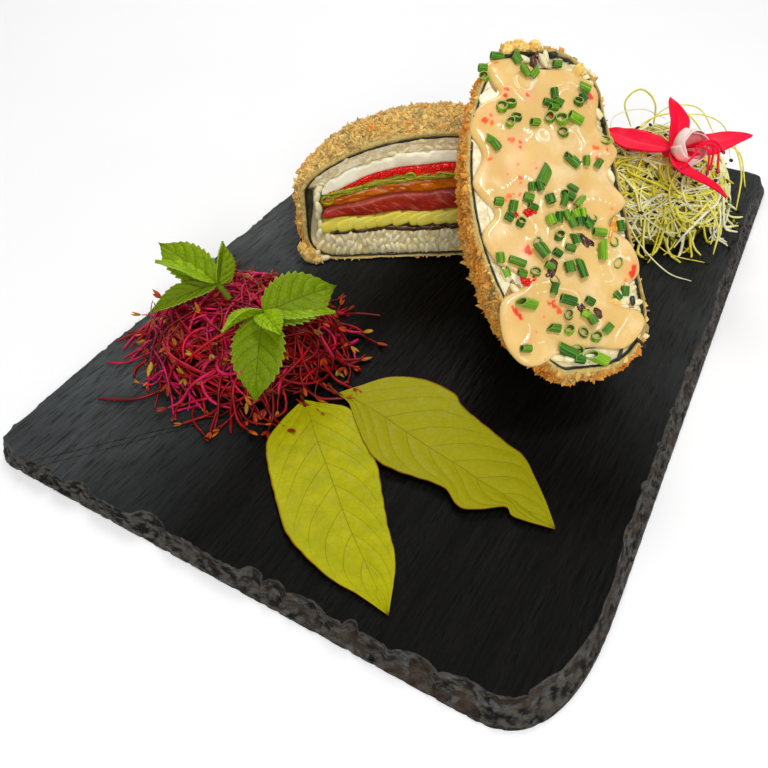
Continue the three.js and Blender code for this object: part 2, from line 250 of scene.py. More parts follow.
def grown(host, tree, values, name, keepHost=False):
    # runs the tree on the host and returns what grew, as a plain mesh piece
    modifier = host.modifiers.new(tree.name, "NODES")
    modifier.node_group = tree
    for item in tree.interface.items_tree:
        if item.in_out == "INPUT" and item.name in values:
            modifier[item.identifier] = values[item.name]
    graph = bpy.context.evaluated_depsgraph_get()
    mesh = bpy.data.meshes.new_from_object(host.evaluated_get(graph))
    mesh.name = name
    host.modifiers.remove(modifier)
    if not keepHost:
        bpy.data.objects.remove(host)
    return newPiece(name, mesh)


# Spreads crumbs or round beads over the host's faces, most where its "cover" is highest.
def makeSprinkleTree(name, crumbs):
    def randomTriple(low, high, seed):
        return add(tree, "FunctionNodeRandomValue", {0: low, 1: high, "Seed": seed}, data_type="FLOAT_VECTOR")

    tree, give = newTree(name, ("Spacing", "Float", 0.001), ("Smallest", "Vector", None),
        ("Largest", "Vector", None), ("Lean", "Float", 0.4), ("Sink", "Float", 0.0), ("Seed", "Int", 1))
    spots = addNode(tree, "DistributePointsOnFaces", {
        "Mesh": give["Geometry"], "Distance Min": give["Spacing"], "Density Max": 3e6, "Seed": give["Seed"],
        "Density Factor": add(tree, "InputNamedAttribute", {"Name": "cover"})},
        distribute_method="POISSON").outputs
    if crumbs:  # broken, uneven lumps
        way = randomTriple((-1, -1, -1), (1, 1, 1), 11)
        warp = add(tree, "ShaderNodeVectorMath", {0: way, "Scale": 0.19}, operation="SCALE")
        ball = add(tree, "MeshIcoSphere", {"Subdivisions": 1, "Radius": 0.5})
        shape = add(tree, "SetPosition", {"Geometry": ball, "Offset": warp})
    else:
        shape = add(tree, "MeshUVSphere", {"Segments": 8, "Rings": 5, "Radius": 0.5})
    most = add(tree, "ShaderNodeCombineXYZ", {0: give["Lean"], 1: give["Lean"], 2: 3.14})
    least = add(tree, "ShaderNodeVectorMath", {0: most, "Scale": -1.0}, operation="SCALE")
    lean = add(tree, "FunctionNodeEulerToRotation", {0: randomTriple(least, most, 31)})
    turn = add(tree, "FunctionNodeRotateRotation", {"Rotation": spots["Rotation"], "Rotate By": lean},
        rotation_space="LOCAL")
    inward = add(tree, "ShaderNodeVectorMath", {0: spots["Normal"], "Scale": give["Sink"]}, operation="SCALE")
    lowered = add(tree, "SetPosition", {"Geometry": spots["Points"], "Offset": inward})
    spread = add(tree, "InstanceOnPoints", {"Points": lowered, "Instance": shape, "Rotation": turn,
        "Scale": randomTriple(give["Smallest"], give["Largest"], 21)})
    tone = addNode(tree, "FunctionNodeRandomValue", {"Seed": 41}, data_type="FLOAT").outputs[1]
    toned = add(tree, "StoreNamedAttribute", {"Geometry": spread, "Name": "tone", "Value": tone},
        data_type="FLOAT", domain="INSTANCE")
    return endTree(tree, give, toned, not crumbs)


# Turns a host made of edges into round strands, with each point's own thickness.
def makeStrandTree():
    tree, give = newTree("strands", ("Radius", "Float", 0.0005), ("Sides", "Int", 6))
    ring = add(tree, "CurvePrimitiveCircle", {"Resolution": give["Sides"], "Radius": give["Radius"]})
    tubes = add(tree, "CurveToMesh", {
        "Curve": add(tree, "MeshToCurve", {"Mesh": give["Geometry"]}), "Fill Caps": True,
        "Profile Curve": ring, "Scale": add(tree, "InputNamedAttribute", {"Name": "thick"})})
    return endTree(tree, give, tubes, True)


# Sets one shape at every point of the host, with the point's own turn, size and shade.
def makePlaceTree():
    tree, give = newTree("placeShapes", ("Shape", "Object", None))
    turn, size = (add(tree, "InputNamedAttribute", {"Name": label}, data_type="FLOAT_VECTOR")
        for label in ("turn", "size"))
    spread = add(tree, "InstanceOnPoints", {
        "Points": add(tree, "MeshToPoints", {"Mesh": give["Geometry"]}),
        "Instance": addNode(tree, "ObjectInfo", {"Object": give["Shape"]}).outputs["Geometry"],
        "Rotation": add(tree, "FunctionNodeEulerToRotation", {0: turn}), "Scale": size})
    return endTree(tree, give, spread, True)


placeTree, strandTree = makePlaceTree(), makeStrandTree()
crumbTree, beadTree = makeSprinkleTree("sprinkleCrumbs", True), makeSprinkleTree("sprinkleBeads", False)


def sprinkled(name, host, tree, material, spacing, smallest, largest, lean, sink, seed):
    return grown(host, tree, {"Spacing": spacing * mm, "Smallest": [v * mm for v in smallest],
        "Largest": [v * mm for v in largest], "Lean": lean, "Sink": sink * mm, "Seed": seed,
        "Material": material}, name, True)


def strands(name, paths, radius, material, tones, thick=None, sides=6):
    # paths: a list of (n, 3) arrays
    edges, start = [], 0
    for path in paths:
        edges.extend((start + k, start + k + 1) for k in range(len(path) - 1))
        start += len(path)
    tone = np.repeat(tones, [len(path) for path in paths])
    host = makePiece(name + "_lines", np.vstack(paths), [],
        {"tone": tone, "thick": np.ones(start) if thick is None else np.concatenate(thick)}, edges)
    return grown(host, strandTree, {"Radius": radius * mm, "Sides": sides, "Material": material}, name)


def aimed(way, roll=0.0):
    # the turn that brings a shape's X to `way`
    return list((Vector(way).to_track_quat("X", "Z").to_matrix() @ Matrix.Rotation(roll, 3, "X")).to_euler())


def spindle(rows=7, sides=6, flat=1.0, bend=0.0, blunt=0.8):
    # a seed or small leaf: one millimetre long and wide, from the origin along X
    s, a = polarGrid(rows, sides)
    r = 0.5 * np.maximum(np.sin(math.pi * s), 0.02) ** blunt
    points = np.stack([s, r * np.cos(a), flat * r * np.sin(a) + bend * s ** 2], axis=-1).reshape(-1, 3)
    faces = gridFaces(rows, sides, wrapColumns=True) + endFaces(rows, sides)
    return close(makePiece("shape", points, faces), 0.0001)


def placed(name, shape, spots, material):
    # spots: (place, turn, size in each direction, shade)
    places, turns, sizes, tones = zip(*spots)
    host = makePiece(name + "_spots", places, [], {"turn": turns, "size": sizes, "tone": tones})
    piece = grown(host, placeTree, {"Shape": shape, "Material": material}, name)
    bpy.data.objects.remove(shape)
    return piece


def colourOf(value):
    # a grey share, or a colour's 0 to 255 parts; a socket or a ready colour stays
    if isinstance(value, (int, float)):
        return (value, value, value, 1)
    if isinstance(value, bpy.types.NodeSocket) or len(value) == 4:
        return value
    return tuple(((v / 255 + 0.055) / 1.055) ** 2.4 if v > 10 else v / 255 / 12.92 for v in value) + (1.0,)


def blended(tree, mask, first, second, mode="MIX"):
    return addNode(tree, "Mix", {0: mask, 6: colourOf(first), 7: colourOf(second)},
        data_type="RGBA", blend_type=mode).outputs[2]


def newGroup(name, takes, gives):
    group = bpy.data.node_groups.new(name, "ShaderNodeTree")
    for label, value in takes.items():
        kind = "Float" if isinstance(value, float) else "Vector" if len(value) == 3 else "Color"
        socket = group.interface.new_socket(label, in_out="INPUT", socket_type="NodeSocket" + kind)
        socket.default_value = value
    for label, kind in gives.items():
        group.interface.new_socket(label, in_out="OUTPUT", socket_type="NodeSocket" + kind)
    return group, group.nodes.new("NodeGroupInput").outputs, group.nodes.new("NodeGroupOutput").inputs


def cloudIn(group, give, size, detail):
    scale = add(group, "Math", {0: 1.0, 1: give[size]}, operation="DIVIDE")
    return add(group, "TexNoise", {"Vector": give["Place"], "Scale": scale, "Detail": detail})


# Two colours that run into each other in soft patches.
def makeMottle():
    group, give, out = newGroup("mottle", {
        "Place": (0, 0, 0), "Patch": 0.005, "Detail": 3.0, "Balance": 0.5, "Edge": 0.15,
        "First": (1, 1, 1, 1), "Second": (0, 0, 0, 1)}, {"Colour": "Color", "Mask": "Float"})
    low, high = (add(group, "Math", {0: give["Balance"], 1: give["Edge"]}, operation=kind)
        for kind in ("SUBTRACT", "ADD"))
    mask = add(group, "MapRange", {"Value": cloudIn(group, give, "Patch", give["Detail"]), "From Min": low,
        "From Max": high}, interpolation_type="SMOOTHSTEP")
    group.links.new(blended(group, mask, give["First"], give["Second"]), out["Colour"])
    group.links.new(mask, out["Mask"])
    return group


# Fine unevenness for a surface, as a normal.
def makeGrain():
    group, give, out = newGroup("fineGrain", {
        "Place": (0, 0, 0), "Size": 0.001, "Detail": 3.0, "Strength": 0.3, "Depth": 0.0003},
        {"Normal": "Vector"})
    bump = add(group, "Bump", {"Height": cloudIn(group, give, "Size", give["Detail"]),
        "Strength": give["Strength"], "Distance": give["Depth"]})
    group.links.new(bump, out["Normal"])
    return group


# Moist and dry places.
def makeMoisture():
    group, give, out = newGroup("moisture", {"Place": (0, 0, 0), "Patch": 0.003, "Wet": 0.2, "Dry": 0.5},
        {"Roughness": "Float"})
    rough = add(group, "MapRange", {"Value": cloudIn(group, give, "Patch", 2.0), "From Min": 0.35,
        "From Max": 0.65, "To Min": give["Wet"], "To Max": give["Dry"]})
    group.links.new(rough, out["Roughness"])
    return group


mottleGroup, grainGroup, moistureGroup = makeMottle(), makeGrain(), makeMoisture()


class Finish:
    # one material's nodes, with short calls for what the finishes share

    def __init__(self, name, shine=0.5, soft=None, local=False, **fixed):
        # soft: how much light passes inside, and how far its red, green and blue go
        self.material = bpy.data.materials.new(name)
        self.material.use_nodes = True
        self.tree = self.material.node_tree
        self.shader = self.tree.nodes["Principled BSDF"]
        if soft:
            fixed.update(
                Subsurface_Weight=soft[0], Subsurface_Radius=[v * mm for v in soft[1:]], Subsurface_Scale=1.0)
        for label, value in {"Specular_IOR_Level": shine, **fixed}.items():
            self.shader.inputs[label.replace("_", " ")].default_value = value
        # a local pattern follows the burger half or the chive, however it lies
        self.place = self.vector("local") if local else addNode(self.tree, "TexCoord").outputs["Object"]

    def vector(self, label):
        return addNode(self.tree, "Attribute", attribute_name=label).outputs["Vector"]

    def value(self, label):
        return addNode(self.tree, "Attribute", attribute_name=label).outputs["Fac"]

    def math(self, kind, first, second=0.0):
        return add(self.tree, "Math", {0: first, 1: second}, operation=kind)

    def ranged(self, value, low, high, least=0.0, most=1.0):
        if isinstance(value, str):
            value = self.value(value)
        return add(self.tree, "MapRange", {
            "Value": value, "From Min": low, "From Max": high, "To Min": least, "To Max": most})

    def blend(self, mask, first, second, mode="MIX"):
        return blended(self.tree, mask, first, second, mode)

    def stretched(self, scale, turn=(0, 0, 0)):
        # the place drawn out along turned axes, longest where the scale is smallest
        return add(self.tree, "Mapping", {"Vector": self.place, "Scale": [1 / share for share in scale],
            "Rotation": turn}, vector_type="TEXTURE")

    def patches(self, at, patch, detail, balance, edge, first=0, second=1):
        return addNode(self.tree, "Group", {
            "Place": at, "Patch": patch * mm, "Detail": detail, "Balance": balance, "Edge": edge,
            "First": colourOf(first), "Second": colourOf(second)}, node_tree=mottleGroup).outputs

    def mottle(self, *values):
        return self.patches(*values)["Colour"]

    def mask(self, *values):
        return self.patches(*values)["Mask"]

    def grain(self, at, size, detail, strength, depth):
        return add(self.tree, "Group", {"Place": at, "Size": size * mm, "Detail": detail,
            "Strength": strength, "Depth": depth * mm}, node_tree=grainGroup)

    def end(self, colour, patch, wet, dry, normal, at=None):
        # patches from wet to dry, as their roughness
        rough = add(self.tree, "Group", {
            "Place": at or self.place, "Patch": patch * mm, "Wet": wet, "Dry": dry}, node_tree=moistureGroup)
        for label, socket in {"Base Color": colour, "Roughness": rough, "Normal": normal}.items():
            self.tree.links.new(socket, self.shader.inputs[label])
        return self.material


def foodFinish(name, first, second, fleck, patch, fleckPatch=1, fleckBalance=0.62, wet=0.25, dry=0.5,
        grain=0.8, bump=0.4, depth=0.2, tone=None, values="tone", stretch=(1, 1, 1), **fixed):
    # a moist food: two mottled colours, a darker or lighter fleck, moisture and fine grain
    food = Finish(name, **fixed)
    at = food.stretched(stretch)
    base = food.mottle(at, patch, 4, 0.5, 0.12, first, second)
    colour = food.blend(food.mask(at, fleckPatch, 2, fleckBalance, 0.04), base, fleck or second)
    if tone:  # each piece of its kind has its own shade
        colour = food.blend(food.value(values), colour, tone)
    return food.end(colour, 3, wet, dry, food.grain(at, grain, 3, bump, depth))


print("helpers ready")

view = {
    "position": (87.8, -217.6, 193.1), "heading": 28.85, "down": 46.57, "lens": 34.26, "worldStrength": 0.38,
    "floorReach": 4000, "floorColours": ((0.95, 0.95, 0.95, 1), (0.93, 0.93, 0.935, 1)),
    # in metres: place, aimed at, size, and strength in watts
    "lamps": {
        "keyLight": ((-0.55, 0.75, 0.95), (0, 0, 0.02), 0.5, 5.5),
        "topLight": ((0.25, 0.0, 1.1), (0, 0, 0.02), 0.16, 4.0),
        "frontLight": ((0.45, -0.85, 0.6), (0, 0, 0.03), 0.5, 5.0)},
}


def makeStudio():
    scene = bpy.context.scene
    scene.view_settings.view_transform = "Standard"
    camera = newPiece("camera", bpy.data.cameras.new("camera"))
    camera.data.lens = view["lens"]
    camera.data.sensor_width = 36
    camera.data.clip_start = 0.01
    camera.location = Vector(view["position"]) * mm
    camera.rotation_euler = (math.radians(90 - view["down"]), 0, math.radians(view["heading"]))
    scene.camera = camera

    world = bpy.data.worlds.new("softRoom")
    world.use_nodes = True
    world.node_tree.nodes["Background"].inputs["Color"].default_value = (1, 1, 1, 1)
    world.node_tree.nodes["Background"].inputs["Strength"].default_value = view["worldStrength"]
    scene.world = world
    for name, (place, aim, size, power) in view["lamps"].items():
        lamp = bpy.data.lights.new(name, "AREA")
        lamp.shape, lamp.size, lamp.energy = "DISK", size, power
        lit = newPiece(name, lamp)
        lit.location = place
        lit.rotation_euler = (Vector(aim) - Vector(place)).to_track_quat("-Z", "Y").to_euler()

    reach = view["floorReach"]
    corners = [(x * reach, y * reach, -0.2) for x, y in ((-1, -1), (1, -1), (1, 1), (-1, 1))]
    floor = makePiece("floor", corners, [(0, 1, 2, 3)])
    pale = Finish("paleFloor", Roughness=0.9)
    tone = pale.mottle(pale.place, 80, 2, 0.5, 0.5, *view["floorColours"])
    pale.tree.links.new(tone, pale.shader.inputs["Base Color"])
    floor.data.materials.append(pale.material)


makeStudio()
print("studio ready")


slateBoard = {
    "top": 6.0,
    # corners of the underside, and how far before and after each the edges start to turn
    "corners": [(-98.5, -149.3, 10, 10), (99.3, -149.3, 23, 44), (99.3, 149, 8, 8), (-95, 143, 46, 46)],
    # near, right, far and left: how far the edge slopes in, and how deep its bites are
    "slope": (4.4, 4.6, 2.0, 1.8), "bite": (3.6, 1.2, 1.2, 1.0),
    # smallest and largest width of a bite, and of the chips in it
    "biteWidth": (2.5, 14), "chipWidth": (1.4, 3.6),
    "outlinePoints": 1300, "topRings": 50, "edgeRings": 17, "cleftTurn": 3, "cleftDepth": 0.2,
}


def slateOutline(count):
    corners = [np.array(corner[:2], float) for corner in slateBoard["corners"]]
    path = []
    for index, corner in enumerate(corners):
        ends = []
        for side, other in enumerate((corners[index - 1], corners[(index + 1) % 4])):
            way = other - corner
            ends.append(corner + way / np.linalg.norm(way) * slateBoard["corners"][index][2 + side])
        for share in np.linspace(0, 1, 24):
            path.append((1 - share) ** 2 * ends[0] + 2 * share * (1 - share) * corner + share ** 2 * ends[1])
    return spaced(path, count, True)


def bites(run, low, high, seed):
    # shell-shaped bites side by side along the edge, from 0 at their cusps to 1 in their middles
    rng = np.random.default_rng(seed)
    cusps = [0.0]
    while cusps[-1] < run[-1]:
        cusps.append(cusps[-1] + rng.uniform(low, high))
    cusps = np.array(cusps) * run[-1] / cusps[-1]
    index = np.clip(np.searchsorted(cusps, run, "right") - 1, 0, len(cusps) - 2)
    inside = (run - cusps[index]) / (cusps[index + 1] - cusps[index])
    return np.sin(math.pi * np.clip(inside, 0, 1)) ** 0.55 * (rng.random(len(cusps)) ** 1.3)[index]


def cleftRelief(x, y):
    # fine ripples left where the slate split, long in one direction
    turn = math.radians(slateBoard["cleftTurn"])
    across, along = x * math.cos(turn) - y * math.sin(turn), x * math.sin(turn) + y * math.cos(turn)
    flat, wide = flatAt(across, along * 0.12), flatAt(x, y * 0.5)
    fine = 0.6 * lumps(flat, 3.1, 3) + 0.4 * ridges(flat, 6.2, 4)
    return slateBoard["cleftDepth"] * fine * (0.6 + 0.4 * lumps(wide, 40, 6)) + 0.1 * lumps(wide, 28, 7)


def makeSlate():
    count, steps, top = slateBoard["outlinePoints"], slateBoard["edgeRings"], slateBoard["top"]
    outline = slateOutline(count)
    ahead, behind = np.roll(outline, -1, 0), np.roll(outline, 1, 0)
    outward = np.stack([(ahead - behind)[:, 1], (behind - ahead)[:, 0]], axis=1)
    outward /= np.linalg.norm(outward, axis=1)[:, None]
    run = np.arange(count) * np.linalg.norm(outline[1] - outline[0])
    at = flatAt(*outline.T)

    def bySide(near, right, far, left):
        return np.where(outward[:, 0] > 0, right, left) * outward[:, 0] ** 2 \
            + np.where(outward[:, 1] > 0, far, near) * outward[:, 1] ** 2

    slope, bite = bySide(*slateBoard["slope"]), bySide(*slateBoard["bite"])
    broken = np.clip(bite / slateBoard["bite"][0], 0.12, 1)
    chips = 0.5 * broken * bites(run, *slateBoard["chipWidth"], 13)
    reach = slope * (0.9 + 0.25 * lumps(at, 26, 11)) \
        + bite * (bites(run, *slateBoard["biteWidth"], 12) - 0.3) + chips
    # widest at the broken near right corner, thin towards the left
    corner = np.exp(-(np.hypot(at[:, 0] - 84, at[:, 1] + 143) / 20) ** 2)
    reach = np.maximum(reach + (2.6 * corner - 1.6 * ramp(-at[:, 0], 10, 95) * broken), 0.9)
    ragged = 0.5 * broken * (lumps(at, 2.6, 18) + lumps(at, 1.3, 19))
    rings = []
    for ring in range(steps + 1):
        share = ring / steps
        # a blunt foot, then a hollow face that steepens towards the top, split in thin leaves
        rise = 0.2 * min(1, share / 0.1) + 0.8 * max(0, (share - 0.1) / 0.9) ** (1 + 0.9 * broken)
        tall = np.stack([at[:, 0], at[:, 1], rise * 7], axis=1)
        leaf = 0.3 * np.sin(fullTurn * (rise * 5.2 + 0.8 * lumps(at, 6, 14))) * broken \
            + 0.35 * broken * lumps(tall, 2.0, 15)
        middle = math.sin(math.pi * min(share, 0.96)) ** 0.5
        leaf += 0.5 * broken * lumps(tall, 4.2, 16)
        inset = reach * share + leaf * middle + ragged * (1 - share) * 0.5
        z = rise * top + 0.4 * broken * lumps(tall, 1.7, 17) * middle
        rings.append(np.column_stack([outline - outward * np.maximum(inset, 0)[:, None], z]))
    rim = rings[-1][:, :2]
    core = np.column_stack([np.zeros(count), np.clip(rim[:, 1], -60, 60)])
    for ring in range(slateBoard["topRings"] + 1):
        share = 1 - (ring / slateBoard["topRings"]) ** 0.85 * 0.997 - 0.003
        rings.append(np.column_stack([core + (rim - core) * share, np.full(count, top)]))
    surface = np.array(rings)
    flat = surface[steps:]
    fade = ramp(np.linalg.norm(flat[..., :2] - rim[None], axis=-1), 0, 1.5)
    flat[..., 2] += cleftRelief(flat[..., 0], flat[..., 1]) * (0.35 + 0.65 * fade)
    # a small pit in the left side of the top
    flat[..., 2] -= 0.7 * np.exp(-(np.hypot(flat[..., 0] + 88, (flat[..., 1] + 51) * 0.6) / 1.6) ** 2)
    under = len(rings) * count
    underside = [(under, (k + 1) % count, k) for k in range(count)]
    faces = gridFaces(len(rings), count, wrapColumns=True) + underside
    ring = np.append(np.repeat(np.arange(len(rings)), count), 0)
    return close(makePiece("slate", np.vstack([surface.reshape(-1, 3), [[0, 0, 0]]]), faces, {
        "chipped": ring <= steps, "lipHighlight": ring == steps}), 0.02)


def slateFinish():
    slate = Finish("splitSlate", 0.07)
    turn = (0, 0, -math.radians(slateBoard["cleftTurn"]))
    along, facet = slate.stretched((1, 0.07, 1), turn), slate.stretched((1, 1, 2.2))
    dark = slate.mottle(along, 1.2, 6, 0.52, 0.2, (5, 5, 4), (13, 12, 10))
    # dust and painted sheen towards its left and right sides, nearly black between
    x, y = addNode(slate.tree, "SeparateXYZ", {0: slate.place}).outputs[:2]
    right = slate.math("MULTIPLY", slate.ranged(x, 0.05, 0.095, 0.0, 0.5), slate.ranged(y, -0.07, 0.05))
    side = slate.math("MAXIMUM", slate.ranged(x, -0.02, -0.095), right)
    cloud = slate.mottle(slate.place, 30, 3, 0.5, 0.4, 0.35, 1)
    dustAndSheen = slate.mottle(along, 1.1, 6, 0.5, 0.3, (74, 77, 77), (94, 99, 99))
    top = slate.blend(slate.math("MULTIPLY", side, cloud), dark, dustAndSheen)
    crack = slate.mottle(slate.stretched((1, 0.1, 1), turn), 0.7, 3, 0.6, 0.04, 0, 0.6)
    top = slate.blend(crack, top, (14, 14, 14))
    edge = slate.mottle(facet, 3.4, 5, 0.5, 0.1, (24, 23, 22), (82, 79, 73))
    rust = slate.mottle(facet, 8, 6, 0.54, 0.12, 0, 0.8)
    pale = slate.mottle(facet, 3.6, 3, 0.62, 0.06, 0, 0.7)
    rusty = slate.math("MULTIPLY", rust, slate.ranged(x, -0.06, 0.05, 0.15, 1))
    face = slate.blend(pale, slate.blend(rusty, edge, (66, 54, 45)), (92, 93, 94))
    colour = slate.blend(slate.value("chipped"), top, face)
    # painted highlight: a paler line along the top edge of the broken rim
    colour = slate.blend(slate.ranged("lipHighlight", 0, 1, 0, 0.4), colour, (76, 76, 73))
    split = slate.grain(slate.stretched((1, 0.14, 1), turn), 1.4, 6, 1.0, 1.0)
    normal = slate.blend(slate.value("chipped"), split, slate.grain(facet, 2.6, 6, 1.0, 2.2))
    normal = add(slate.tree, "VectorMath", {0: normal}, operation="NORMALIZE")
    return slate.end(colour, 6, 0.4, 0.6, normal, along)


dress(makeSlate(), slateFinish(), "slate", "slate_board")
print("slate done")

burger = {
    "radius": 54.0, "nori": 0.6, "cutSlant": 6.0, "domePower": 0.7, "fillingRadius": 48.0, "layerFall": 1.9,
    "crustFoot": 1.4,
    # each layer's height on the axis, drop towards the rim, wave and its pitch
    "layers": {
        "rice": (12.6, 0.6, 0.3, 34), "mushroom": (15.6, 0.6, 0.3, 30), "avocado": (21.2, 3.0, 0.5, 24),
        "tuna": (30.0, 7.4, 0.4, 26), "orangeSlice": (34.9, 8.2, 0.4, 32), "seaweed": (37.3, 8.7, 0.4, 28),
        "roe": (41.0, 10.8, 0.4, 36)},
}
slant = math.tan(math.radians(burger["cutSlant"]))


def turned(axis, angle):
    return np.array(Matrix.Rotation(math.radians(angle), 4, axis))


def shifted(x, y, z):
    return np.array(Matrix.Translation((x, y, z)))


backHalf = {
    "name": "back", "height": 51.5, "depthShare": 53.5 / 54, "baseCorner": 10.7, "cheeseTop": 46.0,
    "crustSide": 3.8, "crustTop": 4.6, "slope": slant, "seed": 1, "brown": 0.7, "rimFade": 0.0,
    "riceReach": 51, "slicesProud": 1.0, "matrix": shifted(-13.2, 13.3, 6.3) @ turned("Z", 32),
}
lying = np.eye(4)
lying[:3, :3] = np.array([[0, 1, 0], [0, 0, -1], [-1, 0, 0]]).T
frontHeight = 49.4
cutMiddle = frontHeight / 2
frontHalf = {
    "name": "front", "height": frontHeight, "depthShare": 51 / 54, "baseCorner": 18.0, "cheeseTop": 45.0,
    "crustSide": 3.2, "crustTop": 2.5, "slope": -slant, "seed": 2, "brown": 1.4, "rimFade": 0.75,
    "riceReach": 48.2, "slicesProud": 0.3,
    "matrix": shifted(37, -16.1, 64) @ turned("Z", 37.8) @ turned("X", 31.7) @ lying
        @ turned("X", 1.3 - burger["cutSlant"]) @ shifted(0, slant * cutMiddle, -cutMiddle),
}
halves = (backHalf, frontHalf)
# the cut face of the front half: x along the cut, y towards the dome, z out of the face
faceMatrix = frontHalf["matrix"] @ shifted(0, -slant * cutMiddle, cutMiddle) \
    @ turned("X", 90 + burger["cutSlant"])


def sideLine(radius, foot, corner, shoulder, top):
    # side view of a burger body, from the axis at its foot to the axis at its top
    bend = np.linspace(0, math.pi / 2, 16)
    low = np.column_stack([radius - corner + corner * np.sin(bend), foot + corner - corner * np.cos(bend)])
    share = np.cos(np.linspace(0, math.pi / 2, 70))
    rise = (1 - share ** 2) ** burger["domePower"]
    high = np.column_stack([radius * share, shoulder + (top - shoulder) * rise])
    return np.vstack([[[0, foot]], low, high])


def bodyLine(half, inset, foot, rise=None):
    rise = inset if rise is None else rise
    return sideLine(burger["radius"] - inset, foot, half["baseCorner"] - min(inset, 4), half["height"] * 0.6,
        half["height"] - rise)


def lineRows(line, half, baseRows, sideRows, capRows):
    # rows of (radius, height): from the cut's foot, over the side, to the cut's top, and the cap behind it
    stops = np.concatenate([[0], np.cumsum(np.linalg.norm(np.diff(line, axis=0), axis=1))])
    fine = np.linspace(0, stops[-1], 4000)
    r, z = np.interp(fine, stops, line[:, 0]), np.interp(fine, stops, line[:, 1])
    kept = r * half["depthShare"] >= np.abs(z * half["slope"])
    first, last = np.argmax(kept), len(kept) - 1 - np.argmax(kept[::-1])
    first = 0 if half["slope"] < 0 else first
    corner = np.argmax(r >= line[1, 0] - 0.01)
    at = np.concatenate([
        np.linspace(fine[first], fine[corner], baseRows, endpoint=False),
        np.linspace(fine[corner], fine[last], sideRows),
        np.linspace(fine[last], fine[-1], capRows + 1)[1:] if half["slope"] < 0 else []])
    return np.column_stack([np.interp(at, fine, r), np.interp(at, fine, z)]), baseRows + sideRows


def sweepRows(rows, half, columns, cutRows):
    # the rows turned about the axis, as far as the slanted cut on both sides
    r, z = rows[:, 0], rows[:, 1]
    start = np.arcsin(np.clip(z * half["slope"] / np.maximum(r * half["depthShare"], 1e-6), -1, 1))
    start[cutRows - 1] = math.copysign(math.pi / 2, half["slope"])  # both sides of the cut meet at its top
    angle = start[:, None] + (math.pi - 2 * start)[:, None] * np.linspace(0, 1, columns)[None]
    return np.stack([r[:, None] * np.cos(angle), half["depthShare"] * r[:, None] * np.sin(angle),
        np.repeat(z[:, None], columns, axis=1)], axis=-1)


def makeShell(name, half, outer, inner, counts, columns, across, roll=0.0):
    # a closed half shell with a subdivided rim on the cut; roll thins and rounds it towards the cut
    outerRows, cutRows = lineRows(outer, half, *counts)
    outside = sweepRows(outerRows, half, columns, cutRows)
    inside = sweepRows(lineRows(inner, half, *counts)[0], half, columns, cutRows)
    near = outside[..., 1] - outside[..., 2] * half["slope"]
    outside += (inside - outside) * (roll * (1 - ramp(near, 0, 4)))[..., None]
    rows = len(outerRows)
    start = rows * columns
    points = [outside.reshape(-1, 3), inside.reshape(-1, 3)]
    faces = gridFaces(rows, columns) + gridFaces(rows, columns, start)
    share = np.linspace(0, 1, across)
    for end in (0, -1):
        band = outside[:cutRows, end][:, None] * (1 - share)[None, :, None] \
            + inside[:cutRows, end][:, None] * share[None, :, None]
        points.append(band.reshape(-1, 3))
        faces += gridFaces(cutRows, across, start + len(points[1]) + (len(points) - 3) * cutRows * across)
    local = np.vstack(points)
    piece = makePiece(name, moved(local, half["matrix"]), faces, {
        "local": local * mm, "side": np.repeat([1, 0, 0.5], [start, start, 2 * cutRows * across]),
        "deep": np.concatenate([np.repeat([0, 1], start), np.tile(share, 2 * cutRows)])})
    return close(piece, 0.004)


def layerHeight(rule, x, y, half):
    top, drop, wave, pitch = burger["layers"][rule]
    away = np.minimum(np.hypot(x, y / half["depthShare"]) / burger["fillingRadius"], 1.1)
    return top - drop * away ** burger["layerFall"] + wave * np.sin(fullTurn * x / pitch)


def domeHeight(x, y, half):
    # top of the filling over a place
    away = np.clip(np.hypot(x, y / half["depthShare"]) / burger["fillingRadius"], 0, 1)
    shoulder = half["height"] * 0.6
    return shoulder + (half["cheeseTop"] - shoulder) * (1 - away ** 2) ** burger["domePower"]


def cutPlane(points, half, out=0.0):
    # (along, height) on the cut to a place in the half, `out` in front of the cut
    points = np.asarray(points, float)
    return np.stack([points[..., 0], points[..., 1] * half["slope"] - out, points[..., 1]], axis=-1)


def outOf(half, lift):
    # the way out of a half's cut
    return half["matrix"][:3, :3] @ np.array([0, -1, lift])


